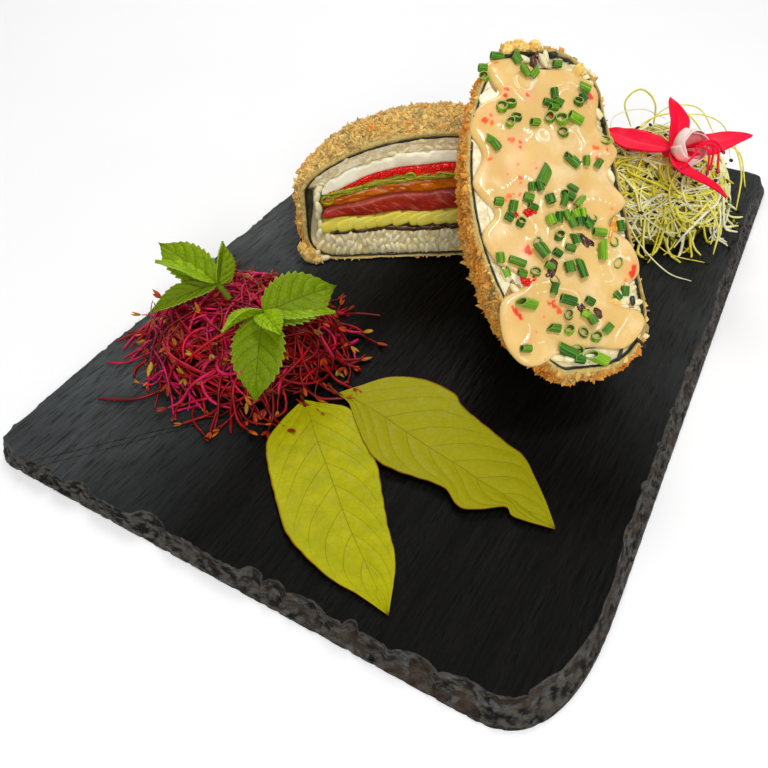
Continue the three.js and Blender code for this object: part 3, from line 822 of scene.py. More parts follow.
def makeLayer(name, half, low, high, reach, bulge, relief, columns, rows):
    # a soft slab that shows its rounded edge on the cut: low and high give its faces' heights
    back = 5
    x, share = np.linspace(-reach, reach, columns), np.linspace(0, 1, rows)
    depth = half["depthShare"] * np.sqrt(np.maximum(reach ** 2 - x ** 2, 0))
    bottom = low(x, x * 0)
    top = np.maximum(high(x, x * 0), bottom + 0.05)
    thick, middle = top - bottom, (bottom + top) / 2
    taper = np.maximum(thick, 0.8) * 0.6
    slim = np.sqrt(np.maximum(1 - np.clip((np.abs(x) - (reach - taper)) / taper, 0, 1) ** 2, 0))
    loops = []
    for s in share:
        z = middle + thick * (s - 0.5) * slim
        edge = (2 * s - 1) ** 2
        out = bulge * (1 - edge ** 2) - 0.35 * edge ** 6 + relief(x, z)
        loops.append(np.column_stack([x, z * half["slope"] - out, z]))
    for s in np.linspace(0, 1, back + 1)[1:]:
        y = np.maximum(depth * s, top * half["slope"] + 0.2)
        z = middle + (np.maximum(high(x, y), low(x, y) + 0.05) - middle) * slim
        loops.append(np.column_stack([x, y, z]))
    for s in np.linspace(1, 0, back + 1)[:-1]:
        y = np.maximum(depth * s, top * half["slope"] + 0.2)
        loops.append(np.column_stack([x, y, middle + (low(x, y) - middle) * slim]))
    count = len(loops)
    local = np.vstack(loops)
    faces = gridFaces(count, columns, wrapRows=True)
    faces += [[k * columns + end for k in range(count)] for end in (0, columns - 1)]
    level = np.repeat(np.concatenate([share, np.ones(back), np.zeros(back)]), columns)
    return close(makePiece(name, moved(local, half["matrix"]), faces, {
        "local": local * mm, "level": level}), 0.004)


print("shared shapes ready")

crust = {
    "relief": 1.55, "roll": 0.42, "bead": 0.9,
    "patch": 9,  # how far apart the well-covered and the bare places are
    # spacing, smallest, largest, lean and sink
    "clumps": (5.0, (1.6, 1.4, 1.2), (3.8, 3.0, 2.6), 1.0, 0.35),
    "crumbs": (1.02, (0.8, 0.65, 0.5), (2.6, 1.9, 1.3), 1.2, 0.05),
}


def makeCrust(half, material, crumbMaterial):
    name, front, seed = half["name"], half["name"] == "front", half["seed"] * 10
    outer = bodyLine(half, -half["crustSide"], 0, -half["crustTop"])
    inner = bodyLine(half, -0.05, burger["crustFoot"])
    piece = makeShell(name + "_crust", half, outer, inner, (16, 136, 12), 196, 8, crust["roll"])
    local, side, deep = localOf(piece), valuesOf(piece, "side"), valuesOf(piece, "deep")
    outside, onRim = side > 0.9, (side > 0.4) & (side < 0.9)
    coarse = lumps(local, 3.4, seed) + 0.7 * lumps(local, 1.8, seed + 1)
    relief = crust["relief"] * (0.55 * coarse + 0.3 * np.abs(lumps(local, 1.2, seed + 3)))
    cover = lumps(local, crust["patch"], seed + 5) + 0.6 * lumps(local, crust["patch"] / 3, seed + 6)
    low = ramp(local[:, 2], 0.0, 3.0)  # the base stays flat on the board
    bead = crust["bead"] * np.maximum(np.sin(deep * math.pi), 0) ** 0.7 + 0.45 * lumps(local, 2.3, 31) \
        + 0.3 * lumps(local, 1.1, 32)
    amount = np.where(outside, (relief + 0.25 * cover) * (0.25 + 0.75 * low), 0)
    if front:  # thinner round the foot of the standing half
        amount -= np.where(outside, 2.4 * ramp(-local[:, 0], 34, 50) * ramp(local[:, 1], 1.5, 8), 0)
    cut = outOf(half, half["slope"]) / math.hypot(1, half["slope"])
    points = coordinates(piece) + readAll(piece.data.vertices, "normal", 3) * amount[:, None] \
        + cut[None] * np.where(onRim, bead, 0)[:, None]
    if not front:
        points[:, 2] = np.maximum(points[:, 2], slateBoard["top"] + 0.05)
    setCoordinates(piece, points)
    # browner the lower it lies above the board, and along the rim's outer edge
    height = coordinates(piece)[:, 2]
    brown = ramp(-height, -46, -8) * half["brown"]
    if front:
        brown = np.maximum(brown, 0.7 * (1 - ramp(local[:, 2] * half["slope"] - local[:, 1], 1, 9)) * outside)
    foot = ramp(-height, -34, -12) * half["rimFade"]
    hidden = 0.25 + 0.75 * ramp(-local[:, 1], -60, -20) if front else 1.0
    setValues(piece,
        relief=np.where(outside, np.clip(relief * 0.4 + 0.6 + 0.25 * cover, 0, 1), 0.9) * (side > 0.4),
        browned=np.clip(brown + 0.35 * cover, 0, 1) * np.where(outside, 1, 0.25) * (side > 0.4),
        rim=onRim * (1 - foot),
        cover=np.where(outside, (0.55 + 0.45 * ramp(relief + 0.5 * cover, -0.4, 0.5)) * low * hidden,
            np.where(onRim & (deep < 0.5 + 0.4 * foot), 0.55 + 0.4 * foot - 0.9 * deep, 0)))
    clumps = sprinkled(name + "_clumps", piece, crumbTree, crumbMaterial, *crust["clumps"], half["seed"] + 4)
    crumbs = sprinkled(name + "_crumbs", piece, crumbTree, crumbMaterial, *crust["crumbs"], half["seed"])
    dress(piece, material, "panko_crust", name + "_panko_crust")
    dress(joined(name + "_crumbs", [crumbs, clumps], False), crumbMaterial, "panko_crust")


def crustFinish():
    fried = Finish("friedCrust", 0.2)
    crumb = fried.mottle(fried.place, 1.4, 5, 0.5, 0.1, (170, 146, 88), (226, 188, 108))
    golden = fried.blend(fried.ranged("browned", 0.2, 0.9, 0, 0.85), crumb, (214, 138, 44))
    speckled = fried.blend(fried.mask(fried.place, 1.1, 2, 0.64, 0.05), golden, (120, 106, 66))
    colour = fried.blend(fried.ranged("relief", 0.2, 0.6), (136, 122, 76), speckled)
    batter = fried.mottle(fried.place, 2.2, 4, 0.5, 0.2, (214, 190, 118), (180, 158, 92))
    colour = fried.blend(fried.ranged("rim", 0, 1, 0, 0.85), colour, batter)
    colour = fried.blend(fried.ranged("browned", 0.8, 1.0, 0, 0.7), colour, (120, 76, 24))
    return fried.end(colour, 2, 0.55, 0.85, fried.grain(fried.place, 0.9, 4, 0.8, 0.6))


def crumbFinish():
    panko = Finish("pankoCrumb", 0.2)
    tone, browned = panko.value("tone"), panko.value("browned")
    pale = panko.blend(panko.ranged(tone, 0, 0.35), (160, 138, 86), (212, 176, 100))
    pale = panko.blend(panko.ranged(tone, 0.35, 0.8), pale, (246, 208, 122))
    brown = panko.blend(panko.ranged(tone, 0.2, 1), (236, 166, 60), (214, 122, 30))
    toast = panko.math("MULTIPLY", panko.mask(panko.place, 6, 4, 0.6, 0.08), 0.75)
    share = panko.math("MAXIMUM", toast, panko.ranged(browned, 0.15, 0.85))
    stray = panko.math("MAXIMUM", share, panko.ranged(tone, 0.93, 0.96, 0, 0.6))
    colour = panko.blend(stray, pale, brown)
    colour = panko.blend(panko.ranged(browned, 0.85, 1.0, 0, 0.7), colour, (150, 96, 30))
    return panko.end(colour, 1, 0.5, 0.85, panko.grain(panko.place, 0.5, 3, 0.7, 0.3))


crustMaterial, crumbMaterial = crustFinish(), crumbFinish()
for half in halves:
    makeCrust(half, crustMaterial, crumbMaterial)
print("crust done")


def makeNori(half, material):
    foot, thick = burger["crustFoot"] + 0.3, burger["nori"]
    outer, inner = bodyLine(half, 0, foot), bodyLine(half, thick, foot + thick)
    piece = makeShell(half["name"] + "_noriSheet", half, outer, inner, (30, 110, 8), 90, 3)
    local = localOf(piece)
    atCut = ramp(local[:, 2] * half["slope"] - local[:, 1], -2.5, 0.0)
    # the torn edge wanders in and out of the cut
    torn = 0.15 + 0.5 * lumps(local, 3.1, 41) + 0.3 * lumps(local, 1.2, 42)
    setCoordinates(piece, coordinates(piece) + outOf(half, 0)[None] * (torn * atCut)[:, None])
    dress(piece, material, "nori", half["name"] + "_nori")


noriMaterial = foodFinish("nori", (14, 18, 14), (30, 34, 26), (48, 50, 34), 3, 0.8, 0.68, wet=0.3, dry=0.6,
    grain=0.9, bump=0.6, local=True)
for half in halves:
    makeNori(half, noriMaterial)
print("nori done")

rice = {
    "length": (5.0, 6.4), "width": (2.6, 3.1), "step": 2.25, "upperStep": 4.6, "rows": (4.3, 7.3, 10.3),
    "sunk": 0.3,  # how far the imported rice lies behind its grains
    # grains that hang loose in the back half's gap and lie at its foot: along, height, heading, out
    "loose": [
        (-49.3, 28.4, 1.3, 0.2), (-48.9, 24.4, 1.75, 0.9), (-49.4, 20.4, 1.5, -0.8), (-48.6, 31, 0.9, -0.5),
        (-48.7, 15.6, 1.6, -0.8), (-49.2, 12.6, 1.2, -0.6), (-48.4, 2.2, 0.1, 1.8), (-51, 3.8, 1.1, 1.4)],
}


def riceLine(half):
    return bodyLine(half, burger["nori"] + 0.05, 2.4)


def riceTop(x, half):
    # top of the rice on the cut
    return np.interp(abs(x), *riceLine(half)[-71:][::-1].T)


def cutGrains(half, material):
    # whole grains on the cut: upright ones in the lower rice, flat ones smeared by the knife in the upper
    rng = np.random.default_rng(50 + half["seed"])
    spots = []

    def put(x, z, heading, out, flat):
        length, width = rng.uniform(*rice["length"]), rng.uniform(*rice["width"])
        way = np.array([math.cos(heading), -math.sin(heading) * 0.1 + rng.normal(0, 0.12), math.sin(heading)])
        start = cutPlane(np.array([x, z]), half, out) - way / np.linalg.norm(way) * length / 2
        ends = moved([start, start + way], half["matrix"])
        turn = aimed(ends[1] - ends[0], rng.uniform(-0.4, 0.4))
        spots.append((ends[0], turn, (length, width, width * flat), rng.uniform()))

    for row, z in enumerate(rice["rows"]):
        inset = 6 * (1 - min(z / 8, 1)) ** 2
        for x in np.arange(-50.5, 50.5, rice["step"]):
            if abs(x) < half["riceReach"] - inset and rng.random() < 0.94:
                put(x + rice["step"] * 0.5 * (row % 2) + rng.normal(0, 0.4), z + rng.normal(0, 0.45),
                    math.pi / 2 + rng.normal(0, 0.3), rng.uniform(-0.95, -0.5), 0.85)
    for x, z, heading, out in rice["loose"] if half["name"] == "back" else []:
        put(x, z, heading, out, 1.0)
    for x in np.arange(-47, 48, rice["upperStep"]):
        slope = math.atan2(riceTop(x + 1, half) - riceTop(x - 1, half), 2)
        for z in np.arange(riceTop(x, half) - 1.5, float(domeHeight(x, 0, half)) + 0.6, -2.5):
            put(x + rng.normal(0, 0.9), z + rng.normal(0, 0.3), slope + rng.normal(0, 0.35),
                rng.uniform(-1.25, -1.0), 0.9)
    dress(placed(half["name"] + "_grains", spindle(9, 8, 1.0, 0.0, 0.42), spots, material), material, "rice")


def makeRice(half, material):
    inner = sideLine(48.3, 12.75, 3, half["height"] * 0.6 + 0.15, half["cheeseTop"] + 0.3)
    piece = makeShell(half["name"] + "_rice", half, riceLine(half), inner, (70, 120, 8), 60, 13)
    local, side, deep = localOf(piece), valuesOf(piece, "side"), valuesOf(piece, "deep")
    lower = ramp(-local[:, 2], -14.5, -11.5)
    cells = np.abs(lumps(local * (1, 0.5, 0.7), 3.0, 51)) - 0.35
    out = np.where(lower > 0.5, 0.5 * cells - rice["sunk"], 0.45 * cells) + 0.3 * lumps(local, 5.0, 52)
    shift = np.where((side > 0.4) & (side < 0.9), out, 0)[:, None] * outOf(half, half["slope"])[None]
    # the rice has come away from the nori on the left side
    loose = ramp(local[:, 2], 8, 17) * ramp(-local[:, 2], -34, -23) * ramp(-local[:, 0], 45.5, 50)
    loose = loose * ramp(-(local[:, 1] - local[:, 2] * half["slope"]), -22, 0) * (half["name"] == "back")
    away = np.column_stack([1.2 * (1 - deep), deep * 0 + 12.0, deep * 0]) * loose[:, None]
    setCoordinates(piece, coordinates(piece) + shift + away @ half["matrix"][:3, :3].T)
    # painted shade: the lower rice, seen in the gaps between its grains, takes a darker, yellower tone
    setValues(piece, shade=lower)
    dress(piece, material, "rice", half["name"] + "_top_rice", half["name"] + "_bottom_rice")


riceSoft = {"shine": 0.35, "soft": (0.3, 2, 1.5, 1)}
riceMaterial = foodFinish("packedRice", (246, 230, 188), (222, 202, 154), (250, 240, 208), 3, 1.6, wet=0.3,
    grain=1.6, bump=0.45, depth=0.5, local=True, values="shade", tone=(224, 206, 148), **riceSoft)
grainMaterial = foodFinish("riceGrain", (255, 246, 206), (244, 230, 180), (255, 250, 224), 2, 1.2, wet=0.22,
    dry=0.45, grain=1.2, bump=0.2, tone=(240, 222, 166), **riceSoft)
for half in halves:
    makeRice(half, riceMaterial)
    cutGrains(half, grainMaterial)
print("rice done")

filling = {
    # how far each layer reaches to either side
    "mushroom": 45.0, "avocado": 48.0, "tuna": 47.6, "orange": 47.4, "seaweed": 48.0, "roe": 45.0,
    "cheese": 47.4, "avocadoStep": 5.6, "avocadoLean": 27,
    # spacing, smallest, largest, lean and sink
    "beads": (0.85, (0.9, 0.9, 0.9), (1.15, 1.15, 1.15), 3.0, 0.12),
    # cut stalks of the seaweed: along, height, size
    "stalks": [(-45.2, 27.3, 1.9), (-12.6, 36.3, 1.7), (-30, 32.4, 1.0), (14, 37.0, 1.4)],
}


def ruled(rule, half, lift=0.0):
    return lambda x, y: layerHeight(rule, x, y, half) + lift


def torn(x, y, size, seed):
    # unevenness that runs on into the half
    return lumps(flatAt(x, y * 0.3), size, seed)


def roughCut(size, depth, seed, stretch=(1.0, 1.0)):
    def relief(x, z):
        at = flatAt(x * stretch[0], z * stretch[1])
        return depth * (lumps(at, size, seed) + 0.5 * lumps(at, size / 2.2, seed + 1))

    return relief


def makeMushroom(half, material):
    def high(x, y):
        uneven = 0.9 * torn(x, y, 5.0, 61) - 0.2
        return layerHeight("mushroom", x, y, half) + uneven - 1.4 * ramp(-x, 18, 34)

    piece = makeLayer(half["name"] + "_mushroomStrips", half, ruled("rice", half, -0.1), high,
        filling["mushroom"], 0.3, roughCut(2.6, 0.5, 62, (1, 0.6)), 150, 9)
    dress(piece, material, "mushroom", half["name"] + "_mushroom")


def makeAvocado(half, material):
    # fanned slices, each leaning on the next
    slices = []
    lean, reach, proud = math.radians(filling["avocadoLean"]), filling["avocado"], half["slicesProud"]
    around = 26
    angle = np.linspace(0, fullTurn, around, endpoint=False)
    for index, middle in enumerate(np.arange(-42.5, 45, filling["avocadoStep"])):
        wobble = np.random.default_rng(70 + index + half["seed"] * 40).uniform(-1, 1, 6)
        lowest = layerHeight("mushroom", middle, 0, half) - 0.3 - 1.6 * ramp(-middle, 16, 32)
        highest = layerHeight("avocado", middle, 0, half)
        length, tall = 5.9 + 1.0 * wobble[0], (highest - lowest) * (0.5 + 0.06 * wobble[2]) + 0.3
        x0, z0 = middle + 0.8 * wobble[1], (lowest + highest) / 2 + 0.3 * wobble[2]
        # a blunt slanted lens, a little hooked at its lower end
        px = length * np.sign(np.cos(angle)) * np.abs(np.cos(angle)) ** 0.8
        pz = tall * 0.8 * np.sign(np.sin(angle)) * np.abs(np.sin(angle)) ** 0.6
        turn = lean + 0.08 * wobble[3]
        ring = np.column_stack([px * math.cos(turn) - pz * math.sin(turn) * 0.6,
            px * math.sin(turn) * 0.62 + pz * math.cos(turn)])
        widest = min(abs(middle) + length * 0.6, reach - 0.5)
        deepest = half["depthShare"] * math.sqrt(max(reach ** 2 - widest ** 2, 1))
        loops, levels = [], []
        for out, grow in ((0.5, 0.5), (0.5, 0.86), (0.32, 0.97), (-0.4, 1.0), (-3, 1.0),
                (-deepest * 0.5, 0.97), (-deepest + 1.2, 0.9), (-deepest + 0.4, 0.6)):
            at = ring * grow + [x0, z0]
            # each slice lies over the next: its left end stands out, its right end dips behind
            cut = cutPlane(at, half, proud * (out + 0.2 * wobble[4]) - 0.4 * (1 - proud))
            cut[:, 1] += 0.07 * proud * (at[:, 0] - x0)
            if out < -1:
                cut[:, 1] = np.maximum(-out, at[:, 1] * half["slope"] + 0.3)
                cut[:, 2] += layerHeight("avocado", middle, -out, half) - highest
            loops.append(cut)
            levels.append(np.clip((ring[:, 1] * grow - 0.12 * ring[:, 0]) / (2.4 * tall) + 0.5, 0, 1))
        local, count = np.vstack(loops), len(loops)
        faces = gridFaces(count, around, wrapColumns=True) + endFaces(count, around)
        slices.append(close(makePiece("slice", moved(local, half["matrix"]), faces, {
            "local": local * mm, "level": np.concatenate(levels),
            "tone": np.full(len(local), 0.5 + 0.5 * wobble[5])}), 0.002))
    whole = joined(half["name"] + "_avocadoSlices", slices)
    dress(whole, material, "avocado", half["name"] + "_avocado")


def makeTuna(half, material):
    piece = makeLayer(half["name"] + "_tunaSlab", half, ruled("avocado", half, 0.1),
        ruled("tuna", half, -0.1), filling["tuna"], 0.9, roughCut(6.5, 0.35, 81, (0.6, 1.3)), 170, 15)
    dress(piece, material, "tuna", half["name"] + "_tuna")


def makeOrangeSlice(half, material):
    def high(x, y):
        return layerHeight("orangeSlice", x, y, half) + 0.5 * torn(x, y, 6.0, 83)

    piece = makeLayer(half["name"] + "_orangeSlices", half, ruled("tuna", half, 0.15), high,
        filling["orange"], 0.5, roughCut(3.4, 0.4, 84, (0.7, 1.6)), 170, 13)
    streaks = ramp(lumps(localOf(piece) * (0.22, 1, 1.2), 1.6, 88), 0.05, 0.5)
    setValues(piece, paler=ramp(valuesOf(piece, "level"), 0.74, 0.95) * streaks * 0.8)
    dress(piece, material, "orange_slice", half["name"] + "_orange_slice")


def makeSeaweed(half, material, strandMaterial):
    # a dark body with bright strands and a few cut stalks on it
    body = makeLayer(half["name"] + "_seaweedBody", half, ruled("orangeSlice", half, 0.3),
        ruled("seaweed", half, -0.2), filling["seaweed"], -0.2, roughCut(1.5, 0.35, 86), 200, 7)
    dress(body, material, "seaweed_salad", half["name"] + "_seaweed_salad")
    rng = np.random.default_rng(87 + half["seed"])
    s = np.linspace(0, 1, 14)
    paths, tones, thick = [], [], []
    for _ in range(120):
        x0, length = rng.uniform(-47, 44), rng.uniform(5, 17)
        x = np.clip(x0 + length * s, -47.2, 47.2)
        low, high = layerHeight("orangeSlice", x, 0, half), layerHeight("seaweed", x, 0, half)
        lane, wave, swing = rng.uniform(0.1, 0.95), rng.uniform(0, 6.3), rng.uniform(0.1, 0.35)
        z = low + (high - low) * np.clip(lane + swing * np.sin(wave + s * rng.uniform(2, 7)), 0.02, 1.12)
        out = rng.uniform(-0.3, 0.75) - 0.9 * (2 * s - 1) ** 4
        paths.append(moved(cutPlane(np.column_stack([x, z]), half, out), half["matrix"]))
        tones.append(rng.uniform())
        thick.append(rng.uniform(0.7, 1.25) * (1 - 0.6 * (2 * s - 1) ** 6))
    around = np.linspace(0, fullTurn, 17)
    for x0, z0, size in filling["stalks"]:
        ring = np.column_stack([x0 + size * 1.15 * np.cos(around), z0 + size * 0.8 * np.sin(around)])
        paths.append(moved(cutPlane(ring, half, 0.75), half["matrix"]))
        tones.append(0.02)
        thick.append(np.full(17, 1.15))
    piece = strands(half["name"] + "_seaweedStrands", paths, 0.42, strandMaterial, tones, thick, 6)
    dress(piece, strandMaterial, "seaweed_salad")


def makeRoe(half, material):
    def low(x, y):  # the roe sinks below the seaweed towards one side
        drop = ramp(x, -16, 0) * (1.7 + 0.9 * torn(x, y, 4.5, 94))
        return layerHeight("seaweed", x, y, half) + 0.15 - drop * (half["name"] == "back")

    def high(x, y):
        top = np.minimum(layerHeight("roe", x, y, half) - 0.1, domeHeight(x, y, half) - 0.2)
        return top - 1.8 * ramp(-x, 20, 44)

    piece = makeLayer(half["name"] + "_roeBody", half, low, high, filling["roe"], 0.1,
        roughCut(1.1, 0.25, 91), 200, 8)
    local = localOf(piece)
    setValues(piece, cover=local[:, 1] - local[:, 2] * half["slope"] < 0.6)
    beads = sprinkled(half["name"] + "_roeBeads", piece, beadTree, material, *filling["beads"],
        7 + half["seed"])
    setValues(piece, tone=np.zeros(len(local)))
    dress(piece, material, "red_roe", half["name"] + "_red_roe")
    dress(beads, material, "red_roe")


def makeCheese(half, material):
    def low(x, y):
        roeTop = layerHeight("roe", x, y, half) - 1.9 * ramp(-x, 18, 44)
        return np.minimum(roeTop, domeHeight(x, y, half) - 0.3)

    def high(x, y):
        return domeHeight(x, y, half) - 0.3 + 0.7 * torn(x, y, 3.4, 96) + 0.5 * torn(x, y, 1.5, 97)

    piece = makeLayer(half["name"] + "_creamCheese", half, low, high, filling["cheese"], 0.45,
        roughCut(5.5, 0.4, 95), 190, 12)
    dress(piece, material, "cream_cheese", half["name"] + "_cream_cheese")


def tunaFinish():
    tuna = Finish("tuna", 0.25, (0.2, 3, 0.8, 0.6), True)
    flesh = tuna.mottle(tuna.stretched((0.5, 1, 1.2)), 6, 3, 0.5, 0.25, (178, 50, 28), (142, 14, 6))
    # pale sinews run slantwise, and the upper edge has paled
    fibre = tuna.mask(tuna.stretched((0.22, 1, 1.5), (0, 0.45, 0)), 1.6, 4, 0.6, 0.06)
    colour = tuna.blend(tuna.math("MULTIPLY", fibre, 0.55), flesh, (206, 122, 96))
    upper = tuna.math("MULTIPLY", tuna.ranged("level", 0.72, 1.0), 0.55)
    under = tuna.math("MULTIPLY", tuna.ranged("level", 0.28, 0.0), 0.5)
    colour = tuna.blend(under, tuna.blend(upper, colour, (186, 92, 74)), (176, 70, 44))
    bumps = tuna.grain(tuna.stretched((0.3, 1, 1.4), (0, 0.45, 0)), 1.2, 3, 0.35, 0.3)
    return tuna.end(colour, 3, 0.2, 0.42, bumps)


def avocadoFinish():
    flesh = Finish("avocado", 0.2, (0.2, 2, 2, 0.8), True)
    colour = flesh.mottle(flesh.place, 4, 3, 0.5, 0.2, (255, 240, 112), (250, 228, 84))
    # painted shade: greener and darker towards each slice's lower edge, where it lies over the next
    colour = flesh.blend(flesh.ranged("level", 0.45, 0.1, 0, 0.8), colour, (176, 184, 36))
    colour = flesh.blend(flesh.ranged("tone", 0, 3), colour, (204, 204, 60))
    return flesh.end(colour, 3, 0.28, 0.5, flesh.grain(flesh.place, 1.5, 2, 0.25, 0.2))


moist = {"shine": 0.25, "soft": (0.15, 3, 1.2, 0.8)}
mushroomMaterial = foodFinish("mushroom", (54, 30, 10), (96, 62, 26), (150, 116, 64), 3, 0.9, 0.66, wet=0.15,
    dry=0.4, bump=0.5, stretch=(0.6, 1, 1), local=True)
seaweedMaterial = foodFinish("seaweedBody", (92, 96, 14), (128, 130, 24), (44, 38, 8), 2, 0.8, wet=0.15,
    dry=0.4, bump=0.6, local=True)
strandMaterial = foodFinish("seaweedStrand", (160, 168, 24), (116, 128, 12), (190, 190, 70), 2.5, wet=0.15,
    dry=0.35, bump=0.3, tone=(176, 160, 40), **moist)
roeMaterial = foodFinish("redRoe", (246, 12, 2), (214, 4, 2), (255, 50, 20), 3, 0.7, wet=0.15, dry=0.35,
    bump=0.15, tone=(250, 20, 6), soft=(0.3, 3, 0.6, 0.4))
cheeseMaterial = foodFinish("creamCheese", (255, 250, 222), (252, 240, 206), (255, 250, 232), 6, 2, wet=0.3,
    grain=2.2, bump=0.3, local=True, **moist)
orangeMaterial = foodFinish("orangeSlice", (210, 112, 8), (178, 78, 6), (232, 144, 50), 4, 1.5, 0.64,
    wet=0.15, dry=0.35, bump=0.3, stretch=(0.45, 1, 1.3), local=True, values="paler", tone=(244, 176, 140),
    **moist)
tunaMaterial, avocadoMaterial = tunaFinish(), avocadoFinish()
for half in halves:
    makeMushroom(half, mushroomMaterial)
    makeAvocado(half, avocadoMaterial)
    makeTuna(half, tunaMaterial)
    makeOrangeSlice(half, orangeMaterial)
    makeSeaweed(half, seaweedMaterial, strandMaterial)
    makeRoe(half, roeMaterial)
    makeCheese(half, cheeseMaterial)
print("filling done")


sauce = {
    "edge": [
        (50, 13.5), (52, 4), (47.5, -4), (46, -15), (38, -23), (25, -20.5), (16, -25.4), (7.5, -20.5),
        (-2, -24.6), (-9, -17.5), (-16, -23.4), (-26, -24), (-34, -13.5), (-38.5, -21.8), (-44, -21.6),
        (-49.5, -14), (-48, -4), (-49, 6), (-52, 14), (-50, 19.5), (-42, 23), (-31, 21.5), (-25.5, 13),
        (-18, 21), (-9, 24), (-2, 19), (8, 24.2), (18, 19.5), (27, 22.2), (35, 18), (39, 10.5), (45, 12.6)],
    "foot": 0.35, "thick": 1.6, "roundOver": 2.1, "ripple": 0.42, "crest": 0.34, "around": 460, "rings": 90,
    # what shows through: along the cut, across it, size, from 0 (orange) to 1 (red), spread of the blush
    "spots": [
        (49.5, 9.8, 0.7, 0, 1), (40, 8, 1.1, 1, 2), (37.5, 8.7, 1.2, 1, 2), (37.5, 1, 1.1, 0.9, 3),
        (35.5, -19.5, 1.3, 1, 3.5), (31.7, -23.2, 0.8, 0.5, 1), (29.5, 17, 1.5, 0.7, 3),
        (31, 14.8, 0.7, 0.7, 4), (28, 15, 1.0, 0, 1), (22, 9.5, 1.5, 0.2, 3), (21, 6.8, 0.6, 0.8, 4),
        (19, 7, 0.8, 0.8, 2), (17.3, -18, 1.3, 0.2, 3), (16.5, -21.5, 0.5, 0.7, 3),
        (13.5, -17.5, 0.9, 0.4, 2), (16, 17.5, 1.0, 0, 3), (13.3, 8.8, 0.8, 0.1, 3),
        (10.4, 12.8, 0.5, 0.2, 4), (8.8, 8.8, 1.1, 0.3, 2), (7, 9, 0.7, 0.7, 3), (11.5, 3, 0.5, 0.8, 3.5),
        (30, -5, 1.5, 0.1, 2), (-4.2, -19.3, 0.8, 0, 3), (2.5, 13.5, 1.1, 0.1, 2), (1.3, 11, 0.9, 0.1, 2),
        (3.4, 10.2, 0.8, 0.2, 1), (1.4, 15.2, 0.8, 0, 1), (3.6, 12.2, 0.6, 0.3, 1), (-4.7, -7, 1.2, 0.8, 2),
        (-15.3, 11.3, 1.4, 1, 2), (-16.2, 10.4, 1.2, 1, 2), (-24.6, -22, 1.6, 0.9, 4),
        (-26.3, -21, 1.2, 1, 3), (-28.3, -18.5, 0.8, 0.1, 2), (-33.4, 6.6, 1.3, 0.8, 1),
        (-34.4, 5.2, 1.2, 0.8, 1), (-35.6, 4.4, 0.9, 0.6, 1), (-33, 18.8, 1.0, 1, 1), (-34.4, 18, 1.1, 1, 1),
        (-35.8, 17.2, 1.1, 1, 2), (-37, 16.6, 0.8, 1, 1), (-37, 9.5, 0.6, 0, 3), (-42.3, 13, 0.4, 0, 1),
        (-17, -13.5, 0.6, 0.8, 2), (-44, 15, 0.5, 0, 3)],
}


def sauceWarp(at):
    return at + 3.5 * flatAt(lumps(at, 8, 101), lumps(at, 8, 102))


def sauceCrests(at):
    # thin curling crests where the sauce was poured
    warp = sauceWarp(at)
    return ridges(warp, 11, 104) ** 13 * ramp(lumps(at, 7, 106), -0.25, 0.1) \
        + 0.9 * ridges(warp, 7, 105) ** 13 * ramp(lumps(at, 6, 107), -0.15, 0.15)


def sauceHeight(u, v, away):
    # rounded at its edge, with slow folds under the crests
    edge, at = np.clip(away / sauce["roundOver"], 0, 1), flatAt(u, v)
    swell = np.sqrt(np.maximum(1 - (1 - edge) ** 2, 0))
    folds = sauce["ripple"] * (0.7 * lumps(sauceWarp(at), 12, 103)) + sauce["crest"] * sauceCrests(at)
    return sauce["foot"] + sauce["thick"] * swell + folds * ramp(away, 0.5, 4)


def makeSauce(material):
    rows, around, foot = sauce["rings"], sauce["around"], sauce["foot"] - 0.05
    outline = smoothLine(sauce["edge"], around, True)
    core = np.column_stack([np.clip(outline[:, 0], -38, 38), outline[:, 1] * 0])
    shares = 1 - np.linspace(0, 1, rows) ** 1.2
    flat = (core[None] + (outline - core)[None] * shares[:, None, None]).reshape(-1, 2)
    away = np.full(len(flat), 1e9)
    for start, end in zip(outline, np.roll(outline, -1, 0)):
        run = end - start
        at = np.clip(((flat - start) @ run) / (run @ run), 0, 1)
        away = np.minimum(away, np.linalg.norm(flat - start - at[:, None] * run, axis=1))
    top = np.column_stack([flat, sauceHeight(flat[:, 0], flat[:, 1], away)])
    points = np.vstack([top, np.column_stack([outline * 0.995, np.full(around, foot)]), [[0, 0, foot]]])
    faces = gridFaces(rows, around, wrapColumns=True) + footFaces(0, len(top), around)
    speck, red, blush = np.zeros((3, len(points)))
    # painted highlight: pale lines along the thin crests, where light glints
    crest = ramp(sauceCrests(flatAt(points[:, 0], points[:, 1])), 0.2, 0.6) \
        * ramp(np.append(away, np.zeros(around + 1)), 1, 3)
    torn = points[:, :2] + 0.9 * np.column_stack([lumps(points, 1.3, 108), lumps(points, 1.3, 109)])
    for u, v, size, hue, spread in sauce["spots"]:
        far = np.hypot(torn[:, 0] - u, torn[:, 1] - v)
        mark = 1 - ramp(far, size * 0.6, size * 0.95)
        red = np.where(mark > speck, hue, red)
        speck = np.maximum(speck, mark)
        blush = np.maximum(blush, (1 - ramp(far, 0, size + spread * 1.3)) * (0.2 + 0.15 * hue))
    piece = close(makePiece("pouredSauce", moved(points, faceMatrix), faces, {
        "local": points * mm, "speck": speck, "red": red, "blush": blush, "crest": crest}))
    return dress(piece, material, "sauce", "front_sauce")


